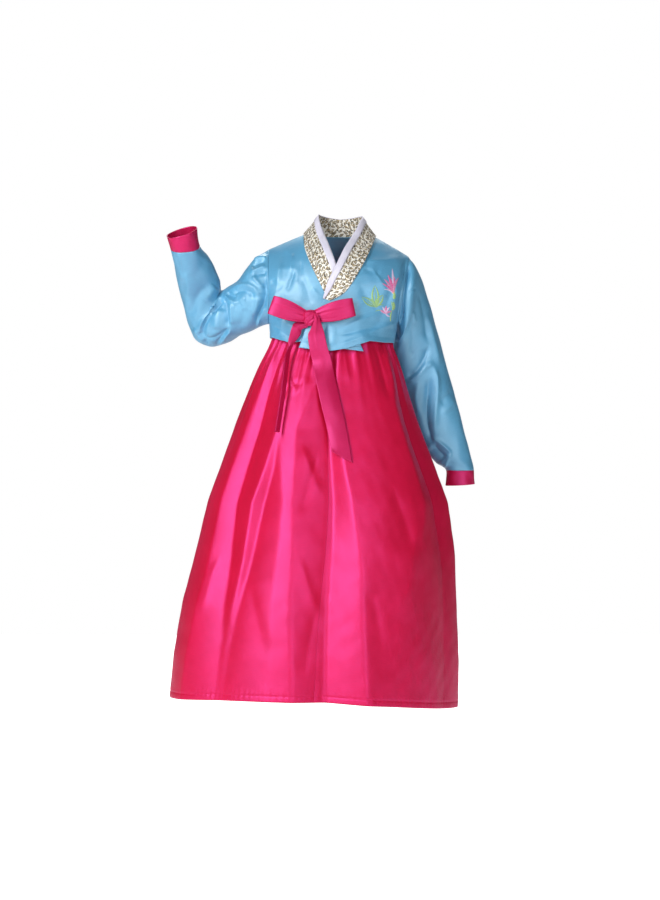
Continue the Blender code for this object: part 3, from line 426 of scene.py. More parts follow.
# ---- finishes ----------------------------------------------------------------------------------------
class NodeSketch:
    """A material's node tree, written one node a line."""

    def __init__(self, name: str) -> None:
        """Start a material with its shader and output.

        Args:
            name: What it is called.
        """
        self.material = bpy.data.materials.new(name)
        self.material.use_nodes = True
        self.tree = self.material.node_tree
        self.shader = self.tree.nodes["Principled BSDF"]

    def node(self, kind: str, inputs: dict | None = None, **settings: object) -> bpy.types.Node:
        """Add a node.

        Args:
            kind: The node's type, without its ShaderNode prefix.
            inputs: Values or sockets for its inputs, by name or number.
            settings: Its own properties.

        Returns:
            The node.
        """
        made = self.tree.nodes.new("ShaderNode" + kind)
        for key, value in settings.items():
            setattr(made, key, value)
        for key, value in (inputs or {}).items():
            self.set(made.inputs[key], value)
        return made

    def set(self, socket: bpy.types.NodeSocket, value: object) -> None:
        """Fill an input.

        Args:
            socket: The input.
            value: Its value or a link; a colour goes without its alpha.
        """
        if isinstance(value, bpy.types.NodeSocket):
            self.tree.links.new(value, socket)
        elif socket.type == "RGBA":
            socket.default_value = (*value, 1.0)
        else:
            socket.default_value = value

    def finish(self, inputs: dict[str, object]) -> bpy.types.Material:
        """Fill the shader's inputs.

        Args:
            inputs: A value or a link for each, by its name.

        Returns:
            The finished material.
        """
        for name, value in inputs.items():
            self.set(self.shader.inputs[name], value)
        return self.material

    def math(self, operation: str, *values: object, hold: bool = False) -> bpy.types.NodeSocket:
        """Work out a number from one, two or three others."""
        made = self.node("Math", dict(enumerate(values)), operation=operation, use_clamp=hold)
        return made.outputs[0]

    def step(self, value: object, low: float, high: float) -> bpy.types.NodeSocket:
        """Ease from 0 at low to 1 at high."""
        inputs = {"Value": value, "From Min": low, "From Max": high}
        return self.node("MapRange", inputs, interpolation_type="SMOOTHSTEP").outputs["Result"]

    def mix(self, share: object, first: object, second: object) -> bpy.types.NodeSocket:
        """Mix two colours.

        Args:
            share: How much there is of the second.
            first: A colour.
            second: Another.

        Returns:
            The mixed colour.
        """
        made = self.node("Mix", {"Factor": share}, data_type="RGBA")
        self.set(made.inputs["A"], first)
        self.set(made.inputs["B"], second)
        return made.outputs["Result"]

    def uv(self) -> bpy.types.NodeSocket:
        """The place on the cloth, in metres."""
        return self.node("TexCoord").outputs["UV"]

    def noise(self, place: object, stretch: Triple, detail: float = 2.0,
              roughness: float = 0.5) -> bpy.types.NodeSocket:
        """Noise that differs along each axis.

        Args:
            place: Where it is read.
            stretch: Its waves to the metre along each axis.
            detail: How many finer layers it has.
            roughness: How strong they are.

        Returns:
            Its height, about 0 to 1.
        """
        scaled = self.node("Mapping", {"Vector": place, "Scale": stretch}).outputs[0]
        inputs = {"Vector": scaled, "Scale": 1.0, "Detail": detail, "Roughness": roughness}
        return self.node("TexNoise", inputs).outputs["Fac"]

    def bump(self, height: object, depth: float, below: object = None) -> bpy.types.NodeSocket:
        """Raise the surface.

        Args:
            height: How far, as a share of depth.
            depth: The most that it rises, in metres.
            below: Another bump that it lies on.

        Returns:
            The new normal.
        """
        inputs = {"Height": height, "Distance": depth, "Strength": 1.0}
        if below is not None:
            inputs["Normal"] = below
        return self.node("Bump", inputs).outputs["Normal"]

    def weave(self, place: object, pitch: float) -> bpy.types.NodeSocket:
        """Threads over and under each other.

        Args:
            place: Where it is read.
            pitch: From one thread to the next but one.

        Returns:
            Their height, -1 to 1.
        """
        across, down, _ = self.node("SeparateXYZ", {0: place}).outputs
        turns = 2.0 * math.pi / pitch
        warp = self.math("SINE", self.math("MULTIPLY", across, turns))
        weft = self.math("SINE", self.math("MULTIPLY", down, turns))
        return self.math("MULTIPLY", warp, weft)


@dataclass(frozen=True)
class Satin:
    """A satin: a smooth face that gleams in the colour of its own thread."""

    name: str
    deep: Colour
    light: Colour
    gleam: Colour
    roughness: float = 0.42
    ior: float = 1.85
    specular: float = 0.8
    sheen: float = 0.35
    sheen_roughness: float = 0.45
    thread: float = 0.0007
    relief: float = 0.00002
    slub: float = 0.000035
    uneven: float = 0.16               # how much its roughness varies
    clouds: Triple = (14.0, 9.0, 1.0)  # waves to the metre across, along and through the cloth
    slubs: Triple = (55.0, 900.0, 1.0)
    warps: Triple = (1100.0, 35.0, 1.0)

    def make(self) -> bpy.types.Material:
        """Build it: clouds and slubs in its colour, slubs and threads in its face.

        Returns:
            The material.
        """
        s = NodeSketch(self.name)
        place = s.uv()
        cloud = s.noise(place, self.clouds, detail=3.0)
        slub = s.noise(place, self.slubs, detail=2.0, roughness=0.6)
        warp = s.noise(place, self.warps, detail=1.0)
        tone = s.math("ADD", s.math("MULTIPLY", cloud, 0.6), s.math("MULTIPLY", slub, 0.4))
        colour = s.mix(s.step(tone, 0.32, 0.68), self.deep, self.light)
        gloss = s.math("ADD", self.roughness - self.uneven / 2, s.math("MULTIPLY", slub, self.uneven))
        threads = s.math("ADD", s.weave(place, self.thread), s.math("MULTIPLY", warp, 0.6))
        face = s.bump(slub, self.slub, s.bump(threads, self.relief))
        return s.finish({"Base Color": colour, "Roughness": gloss, "Normal": face, "IOR": self.ior,
                         "Specular IOR Level": self.specular, "Specular Tint": self.gleam,
                         "Sheen Weight": self.sheen, "Sheen Roughness": self.sheen_roughness,
                         "Sheen Tint": self.gleam})


class Leaf(NamedTuple):
    """A woven leaf in one repeat of the brocade: its middle, heading in degrees, and half sizes."""

    across: float
    down: float
    heading: float
    length: float
    width: float


BROCADE_LEAVES = (
    Leaf(0.005, 0.004, 35.0, 0.0056, 0.0026), Leaf(0.013, 0.0035, 110.0, 0.005, 0.0022),
    Leaf(0.0205, 0.006, -20.0, 0.0058, 0.0025), Leaf(0.0045, 0.013, 80.0, 0.0052, 0.0024),
    Leaf(0.0125, 0.012, -50.0, 0.0058, 0.0027), Leaf(0.0205, 0.015, 60.0, 0.0054, 0.0024),
    Leaf(0.007, 0.0215, -15.0, 0.0056, 0.0025), Leaf(0.015, 0.0225, 125.0, 0.005, 0.0023),
    Leaf(0.0235, 0.0235, -40.0, 0.0046, 0.0021), Leaf(0.0255, 0.012, 95.0, 0.0036, 0.0016),
)


@dataclass(frozen=True)
class Brocade:
    """Ivory silk with a close pattern of olive and gold leaves woven in."""

    name: str
    ground: Colour
    leaf: Colour
    gold: Colour
    repeat: float = 0.028
    wander: float = 0.0035               # how far the pattern strays from its repeat
    leaf_point: float = 1.6              # 1 gives a lozenge, more rounds the leaf
    thread: float = 0.0006
    relief: float = 0.00003
    leaf_relief: float = 0.00025
    tints: Triple = (150.0, 150.0, 1.0)  # waves to the metre across, along and through the cloth
    sprigs: Triple = (250.0, 150.0, 1.0)
    vines: Triple = (150.0, 230.0, 1.0)
    metallic: float = 0.15

    def leaves(self, s: NodeSketch, place: object) -> bpy.types.NodeSocket:
        """Find the closest leaf.

        Args:
            s: The material's nodes.
            place: Where in the repeat.

        Returns:
            Nearness to it, below 1 inside it.
        """
        nearest = None
        for leaf in BROCADE_LEAVES:
            inputs = {"Vector": place, "Location": (leaf.across, leaf.down, 0.0),
                      "Rotation": (0.0, 0.0, math.radians(leaf.heading)),
                      "Scale": (leaf.length, leaf.width, 1.0)}
            spot = s.node("Mapping", inputs, vector_type="TEXTURE").outputs[0]
            x, y, _ = s.node("SeparateXYZ", {0: spot}).outputs
            long = s.math("POWER", s.math("ABSOLUTE", x), self.leaf_point)
            shape = s.math("ADD", long, s.math("ABSOLUTE", y))
            nearest = shape if nearest is None else s.math("MINIMUM", nearest, shape)
        return nearest

    def make(self) -> bpy.types.Material:
        """Build it: the leaves, with sprigs and vines that fill the ground between them.

        Returns:
            The material.
        """
        s = NodeSketch(self.name)
        place = s.uv()
        drift = s.node("TexNoise", {"Vector": place, "Scale": 160.0, "Detail": 1.0}).outputs["Color"]
        bent = s.node("VectorMath", {0: drift, 1: (0.5, 0.5, 0.5)}, operation="SUBTRACT").outputs[0]
        bent = s.node("VectorMath", {0: bent, "Scale": self.wander}, operation="SCALE").outputs[0]
        bent = s.node("VectorMath", {0: place, 1: bent}, operation="ADD").outputs[0]
        inputs = {0: bent, 1: (self.repeat, self.repeat, self.repeat), 2: (0.0, 0.0, 0.0)}
        near = self.leaves(s, s.node("VectorMath", inputs, operation="WRAP").outputs[0])
        inside = s.math("SUBTRACT", 1.0, s.step(near, 0.30, 0.45))
        outside = s.step(near, 0.38, 0.55)
        rim = s.math("MULTIPLY", outside, s.math("SUBTRACT", 1.0, s.step(near, 0.92, 1.15)))
        tint = s.noise(place, self.tints, detail=2.0)
        sprig = s.noise(place, self.sprigs, detail=1.0)
        vine = s.noise(place, self.vines, detail=1.0)
        leaf = s.mix(s.step(tint, 0.5, 0.64), self.leaf, self.gold)
        ground = s.mix(s.step(vine, 0.585, 0.62), self.ground, self.gold)
        ground = s.mix(s.step(sprig, 0.595, 0.63), ground, self.leaf)
        colour = s.mix(rim, s.mix(inside, ground, self.gold), leaf)
        gloss = s.math("SUBTRACT", 0.55, s.math("MULTIPLY", rim, 0.2))
        face = s.bump(rim, self.leaf_relief, s.bump(s.weave(place, self.thread), self.relief))
        return s.finish({"Base Color": colour, "Roughness": gloss, "Normal": face,
                         "Metallic": self.metallic})


@dataclass(frozen=True)
class Plain:
    """A plain matt weave, with a soft unevenness in its tone."""

    name: str
    colour: Colour
    shadow: Colour
    roughness: float = 0.6
    thread: float = 0.0006
    relief: float = 0.00003
    clouds: Triple = (60.0, 30.0, 1.0)  # waves to the metre across, along and through the cloth
    sheen: float = 0.2

    def make(self) -> bpy.types.Material:
        """Build it.

        Returns:
            The material.
        """
        s = NodeSketch(self.name)
        place = s.uv()
        cloud = s.noise(place, self.clouds, detail=3.0)
        colour = s.mix(s.step(cloud, 0.3, 0.7), self.shadow, self.colour)
        gloss = s.math("ADD", self.roughness, s.math("MULTIPLY", cloud, 0.1))
        face = s.bump(s.weave(place, self.thread), self.relief)
        return s.finish({"Base Color": colour, "Roughness": gloss, "Normal": face,
                         "Sheen Weight": self.sheen})


@dataclass(frozen=True)
class Thread:
    """Embroidery thread: fine strands lying side by side along each stitch."""

    name: str
    dark: Colour
    bright: Colour
    relief: float = 0.00012
    strands: Triple = (2600.0, 260.0, 1.0)  # waves to the metre across, along and through the thread
    roughness: float = 0.38
    sheen: float = 0.3

    def make(self) -> bpy.types.Material:
        """Build it.

        Returns:
            The material.
        """
        s = NodeSketch(self.name)
        strands = s.noise(s.uv(), self.strands, detail=2.0)
        colour = s.mix(s.step(strands, 0.35, 0.65), self.dark, self.bright)
        face = s.bump(strands, self.relief)
        return s.finish({"Base Color": colour, "Normal": face, "Roughness": self.roughness,
                         "Sheen Weight": self.sheen})


# ---- the form that the jacket goes round -----------------------------------------------------------------
@dataclass(frozen=True)
class BodyForm:
    """The hollow form of the jacket's body: its sections, its shoulders and its armholes."""

    shoulder_top: float = 0.0185
    slope_left: float = 0.623
    slope_right: float = 0.485
    shoulder_round: float = 0.05
    armhole_top_x: float = 0.1395
    underarm_x: float = 0.1285
    underarm_z: float = -0.178
    side_taper: float = 0.128
    power: float = 2.4
    chest_depth: float = 0.088
    chest_fall: float = 0.055
    back_depth: float = 0.082
    back_fall: float = 0.02
    front_rounding: float = 0.12
    back_rounding: float = 0.08
    rounding_power: float = 0.75
    armhole_open: float = 0.72
    armhole_roundness: float = 2.5
    lean_at_neck: float = 0.0035
    lean_rate: float = 0.07
    crowding: float = 1.8  # brings the armhole's rows closer together at the shoulder

    def lean(self, z: Array) -> Array:
        """x of the body's middle at a height."""
        return self.lean_at_neck + self.lean_rate * z

    def shoulder_line(self, x: Array) -> Array:
        """Height of the shoulder seam, x measured from the body's middle."""
        slope = np.where(np.asarray(x) >= 0.0, self.slope_left, self.slope_right)
        return self.shoulder_top - slope * (np.hypot(x, self.shoulder_round) - self.shoulder_round)

    def seam_height(self, x: Array) -> Array:
        """Height of the shoulder seam over a point x of the front view.

        Args:
            x: Place in the front view.

        Returns:
            The height.
        """
        z = np.zeros_like(np.asarray(x, dtype=float))
        for _ in range(SETTLE):
            z = self.shoulder_line(x - self.lean(z))
        return z

    def tip_z(self, side: Array) -> Array:
        """Height of the shoulder tip on a side."""
        return self.shoulder_line(side * self.armhole_top_x)

    def armhole_share(self, z: Array, side: Array) -> Array:
        """0 at the shoulder tip, 1 at the underarm."""
        tip = self.tip_z(side)
        return clamp((tip - z) / (tip - self.underarm_z))

    def side_x(self, z: Array, side: Array) -> Array:
        """Half breadth of the cloth: along the armhole, then down the side seam.

        Args:
            z: Height.
            side: -1 or 1, the wearer's left.

        Returns:
            Half of it, from the body's middle.
        """
        armhole = self.armhole_top_x + (self.underarm_x - self.armhole_top_x) * self.armhole_share(z, side)
        below = self.underarm_x + (z - self.underarm_z) * self.side_taper
        return np.where(z < self.underarm_z, below, armhole)

    def half_breadth(self, z: Array, side: Array) -> Array:
        """Half breadth of the body's full section, which the armhole cuts off."""
        opening = self.armhole_open * np.sqrt(1.0 - self.armhole_share(z, side) ** self.armhole_roundness)
        return self.side_x(z, side) / (1.0 - opening ** self.power) ** (1.0 / self.power)

    def section_depth(self, x: Array, z: Array, lift: Array, front: bool) -> Array:
        """Depth of the section alone at x from the body's middle.

        Args:
            x: From the body's middle.
            z: Height.
            lift: How far the face is moved out.
            front: The front's face, or else the back's.

        Returns:
            The depth.
        """
        fall, depth = (self.chest_fall, self.chest_depth) if front else (self.back_fall, self.back_depth)
        side = np.where(np.asarray(x) >= 0.0, 1.0, -1.0)
        share = clamp(np.abs(x) / (self.half_breadth(z, side) + lift))
        return (depth - fall * z + lift) * (1.0 - share ** self.power) ** (1.0 / self.power)

    def depth(self, x: Array, z: Array, lift: Array = 0.0, front: bool = True) -> Array:
        """Distance of the body's face from the plane y = 0, lifted outwards.

        Args:
            x: Place in the front view.
            z: Height.
            lift: How far the face is moved out.
            front: The front's face, or else the back's.

        Returns:
            The depth, never negative.
        """
        x = x - self.lean(z)
        rounding = self.front_rounding if front else self.back_rounding
        drop = clamp((self.shoulder_line(x) + lift - z) / rounding)
        arch = (1.0 - (1.0 - drop) ** 2) ** self.rounding_power
        return self.section_depth(x, z, lift, front) * arch

    def height(self, x: float, y: float, lift: float) -> float:
        """Height of the lifted shoulder over a point of the plan.

        Args:
            x: Place in the front view.
            y: Depth, the front negative.
            lift: How far the face is moved out.

        Returns:
            The height.
        """
        front = y < 0.0
        rounding = self.front_rounding if front else self.back_rounding
        z = 0.0
        for _ in range(SETTLE):
            share = clamp(abs(y) / self.section_depth(x - self.lean(z), z, lift, front))
            drop = 1.0 - math.sqrt(1.0 - share ** (1.0 / self.rounding_power))
            z = float(self.shoulder_line(x - self.lean(z))) + lift - drop * rounding
        return z

    def between(self, x0: Array, x1: Array, share: Array, z: Array) -> Array:
        """x at a share of the way from x0 to x1, closer together where the body turns away.

        Args:
            x0: x at share 0.
            x1: x at share 1.
            share: Share of the way round.
            z: Height.

        Returns:
            x of each point.
        """
        power = self.power / 2.0

        def turn(x: Array) -> Array:
            """Angle round the section.

            Args:
                x: Place in the front view.

            Returns:
                Radians, 0 in the middle.
            """
            x = x - self.lean(z)
            ratio = clamp(x / self.half_breadth(z, np.where(x >= 0.0, 1.0, -1.0)), -1.0, 1.0)
            return np.arcsin(np.sign(ratio) * np.abs(ratio) ** power)

        angle = turn(x0) + (turn(x1) - turn(x0)) * share
        half = self.half_breadth(z, np.where(angle >= 0.0, 1.0, -1.0))
        reach = half * np.abs(np.sin(angle)) ** (1.0 / power)
        return self.lean(z) + np.sign(angle) * reach

    def edge_rows(self, hem_z: float, side: float, armhole_rows: int, lower_rows: int) -> Array:
        """Heights of a panel's rows at its outer edge.

        Args:
            hem_z: Where the edge ends.
            side: -1 or 1, the wearer's left.
            armhole_rows: Rows down the armhole.
            lower_rows: Rows down the side seam.

        Returns:
            The heights, from the top down.
        """
        tip = float(self.tip_z(np.float64(side)))
        armhole = np.linspace(0.0, 1.0, armhole_rows) ** self.crowding
        lower = np.linspace(0.0, 1.0, lower_rows + 1)[1:]
        return np.concatenate([tip + (self.underarm_z - tip) * armhole,
                               self.underarm_z + (hem_z - self.underarm_z) * lower])


BODY = BodyForm()


# ---- collar ------------------------------------------------------------------------------------------
class CollarStation(NamedTuple):
    """One crossing of the collar: its outer edge and its inner edge. None is found on the body."""

    outer: tuple[float, float | None, float | None]
    inner: tuple[float, float | None, float | None]


UNDER_GIT = LAY_GAP + WALL  # outer face of the collar on the under front
OVERLAP_LIFT = UNDER_GIT + LAY_GAP + WALL + 0.001  # outer face of the front that laps over it

LEFT_FRONT_EDGE = ((-0.24, -0.081), (-0.1952, -0.0649), (-0.1356, -0.0285), (-0.1235, -0.012),
                   (-0.1097, 0.0085), (-0.0902, 0.0256), (-0.0602, 0.0425), (-0.0237, 0.0605),
                   (-0.002, 0.0675))
RIGHT_FRONT_EDGE = ((-0.24, 0.0515), (-0.2, 0.0345), (-0.156, 0.013), (-0.1423, 0.0),
                    (-0.1204, -0.0165), (-0.1011, -0.0265), (-0.0786, -0.0375), (-0.0551, -0.0475),
                    (-0.0321, -0.0565), (-0.002, -0.059))
LEFT_HEM = ((-0.0777, -0.2295), (-0.0453, -0.2342), (-0.014, -0.2362), (0.0172, -0.2316),
            (0.0466, -0.2216), (0.0624, -0.2164), (0.0924, -0.2182), (0.1131, -0.2172))
RIGHT_HEM = ((-0.134, -0.206), (-0.1146, -0.2132), (-0.0945, -0.2189), (-0.0728, -0.2174),
             (-0.0356, -0.2246), (0.0036, -0.2315), (0.0506, -0.2368))
BACK_HEM = ((-0.134, -0.206), (-0.07, -0.219), (0.0, -0.224), (0.07, -0.221),
            (0.1131, -0.2172))

COLLAR = table_of(
    CollarStation,
    ((-0.018, None, -0.137), (-0.0297, None, -0.1336)),
    ((-0.0062, None, -0.1331), (-0.027, None, -0.1245)),
    ((0.01, None, -0.1235), (-0.0235, None, -0.113)),
    ((0.0225, None, -0.1097), (-0.018, None, -0.0975)),
    ((0.0349, None, -0.0902), (-0.0062, None, -0.0735)),
    ((0.043, None, -0.0755), (0.004, None, -0.0525)),
    ((0.0516, None, -0.0602), (0.013, None, -0.0335)),
    ((0.061, None, -0.04), (0.025, -0.048, -0.013)),
    ((0.069, None, -0.021), (0.0358, -0.034, 0.006)),
    ((0.0745, -0.014, None), (0.044, -0.015, 0.025)),
    ((0.0755, 0.004, None), (0.049, 0.008, 0.036)),
    ((0.065, 0.03, None), (0.043, 0.03, 0.0385)),
    ((0.04, 0.047, None), (0.027, 0.044, 0.037)),
    ((0.006, 0.051, None), (0.006, 0.05, 0.0355)),
    ((-0.03, 0.047, None), (-0.0165, 0.044, 0.0375)),
    ((-0.056, 0.03, None), (-0.033, 0.03, 0.04)),
    ((-0.067, 0.004, None), (-0.0385, 0.008, 0.04)),
    ((-0.0685, -0.014, None), (-0.0375, -0.015, 0.028)),
    ((-0.0665, None, -0.028), (-0.033, -0.034, 0.0095)),
    ((-0.059, None, -0.052), (-0.023, -0.048, -0.016)),
    ((-0.0476, None, -0.0786), (-0.011, None, -0.048)),
    ((-0.0366, None, -0.1011), (-0.002, None, -0.075)),
    ((-0.027, None, -0.1204), (0.006, None, -0.097)),
    ((-0.014, None, -0.1423), (0.012, None, -0.115)),
    ((0.0016, None, -0.156), (0.0153, None, -0.13)))


@dataclass
class Collar:
    """The brocade git, one band all round the neck, and the white dongjeong along its inner edge."""

    over_stations: int = 9            # stations of the front end that lies over, up to the shoulder
    under_station: int = 17           # first station of the end that lies under
    under_end_z: float = -0.14        # below this the under front reaches further than its collar
    stand: tuple[int, int] = (6, 20)  # stations between which the collar stands up
    stand_lift: float = 0.002
    overlap_margin: float = 0.05
    overlap_fade: float = 0.045
    strip_width: float = 0.3          # share of the collar's width
    strip_overhang: float = 0.48      # columns by which the strip reaches past the collar
    strip_end: int = 22               # the under end of the white strip stops here, hidden
    steps: int = 9
    columns: int = 19
    piping: float = 0.0004            # height of its rolled outer edge
    piping_reach: float = 0.03
    crown: float = 0.0005             # how far the white strip bulges

    def under_reach(self, z: Array) -> Array:
        """x to which the under front and its collar reach below the over front.

        Args:
            z: Height.

        Returns:
            The x.
        """
        inner = [(station.inner[2], station.inner[0]) for station in COLLAR[self.under_station + 1:]]
        reach = along(inner, z)
        return np.where(z < self.under_end_z, np.maximum(reach, along(RIGHT_FRONT_EDGE, z)), reach)

    def overlap_lift(self, x: Array, z: Array) -> Array:
        """How far the over front is lifted by what lies under it."""
        return OVERLAP_LIFT * smooth((self.under_reach(z) + self.overlap_margin - x) / self.overlap_fade)

    def lift(self, k: float, x: Array, z: Array) -> Array:
        """Height of the collar's outer face over the body near station k.

        Args:
            k: A station, with its fraction.
            x: Place in the front view.
            z: Height.

        Returns:
            The height over the body.
        """
        standing = smooth(k - self.stand[0] + 1.0) * smooth(self.stand[1] + 1.0 - k)
        lift = UNDER_GIT + self.stand_lift * standing
        return lift + (self.overlap_lift(x, z) if k < self.over_stations else 0.0)

    def edge_point(self, k: int, point: tuple) -> Triple:
        """Fill in the coordinate of an edge point that lies on the lifted body.

        Args:
            k: Its station.
            point: x, y and z, one of them None where it isn't known.

        Returns:
            The whole point.
        """
        x, y, z = point
        outer = COLLAR[k].outer
        lift = float(self.lift(k, outer[0], outer[2] if outer[2] is not None else 0.0))
        if z is None:
            return x, y, BODY.height(x, y, lift)
        if y is None:
            return x, -float(BODY.depth(np.float64(x), np.float64(z), lift)), z
        return point

    def sheet(self) -> Array:
        """Outer points of the collar: rows along it, columns from its outer edge to its inner edge.

        Returns:
            The grid.
        """
        stations = [self.edge_point(k, s.outer) + self.edge_point(k, s.inner) for k, s in enumerate(COLLAR)]
        edges = curve_through(np.array(stations), self.steps)
        shares = np.linspace(0.0, 1.0, self.columns)[None, :, None]
        sheet = edges[:, None, :3] + (edges[:, None, 3:] - edges[:, None, :3]) * shares
        for k, row in enumerate(sheet):
            x, y, z = row.T
            lift = self.lift(k / self.steps, x, z)
            front = np.minimum(y, -BODY.depth(x, z, lift))
            back = np.maximum(y, BODY.depth(x, z, lift, front=False))
            row[:, 1] = np.where(y < 0.0, front, back)
        return sheet

    def build(self, brocade: bpy.types.Material, white: bpy.types.Material) -> list[bpy.types.Object]:
        """Make both bands.

        Args:
            brocade: The git's cloth.
            white: The strip's cloth.

        Returns:
            The git and the dongjeong.
        """
        sheet = self.sheet()
        away = -sheet_normals(sheet)
        shares = np.linspace(0.0, 1.0, self.columns)
        piping = self.piping * np.exp(-(shares / self.piping_reach) ** 2)
        git = Cloth("git", sheet + away * piping[None, :, None], (0.0, -1.0, 0.0)).build(brocade)
        hand_over(git, "gold_brocade", Cut(0.046, 0.7, 0.027, "stretched", ("jeogori_back",)), "git")
        first = int(round((1.0 - self.strip_width) * (self.columns - 1)))
        rows = slice(0, self.strip_end * self.steps + 1)
        band = (sheet + away * (LAY_GAP + TRIM_WALL))[rows, first:]
        band[:, -1] += (sheet[rows, -1] - sheet[rows, -2]) * self.strip_overhang
        count = band.shape[1]
        crown = self.crown * np.sin(np.linspace(0.0, math.pi, count)) ** 0.5
        band = band + away[rows, first:] * crown[None, :, None]
        strip = Cloth("dongjeong", band, (0.0, -1.0, 0.0), wall=TRIM_WALL).build(white)
        hand_over(strip, "white_strip", Cut(0.014, 0.62, 0.0085, "stretched", ("git",)), "dongjeong")
        return [git, strip]


# ---- jacket body ---------------------------------------------------------------------------------------
ARMHOLE_HOLLOW = {Side.RIGHT: 0.0, Side.LEFT: 0.0085}  # how far the front falls back at the armhole
HOLLOW_TOP, HOLLOW_FOOT = 0.035, 0.02  # heights in which that fades at its two ends


def armhole_hollow(z: Array, side: Side) -> Array:
    """How far the armhole's front edge falls back at a height.

    Args:
        z: Height.
        side: Which armhole.

    Returns:
        How far.
    """
    tip = float(BODY.tip_z(np.float64(side.value)))
    fade = smooth((z - BODY.underarm_z) / HOLLOW_FOOT)
    return ARMHOLE_HOLLOW[side] * smooth((tip - z) / HOLLOW_TOP) * fade


def seam_mask(rows: int, columns: int, free_rows: tuple[bool, bool], free_columns: tuple[bool, bool],
              reach: float = 0.028) -> Array:
    """0 along the sewn edges of a sheet and 1 away from them.

    Args:
        rows: Rows of the sheet.
        columns: Columns of the sheet.
        free_rows: Whether its first and its last row are free edges.
        free_columns: Whether its first and its last column are.
        reach: Share of the sheet over which creases die out at a seam.

    Returns:
        The mask.
    """
    down, across = np.linspace(0.0, 1.0, rows)[:, None], np.linspace(0.0, 1.0, columns)[None, :]
    mask = np.ones((rows, columns))
    for free, distance in ((free_rows[0], down), (free_rows[1], 1.0 - down),
                           (free_columns[0], across), (free_columns[1], 1.0 - across)):
        if not free:
            mask = mask * smooth(distance / reach)
    return mask


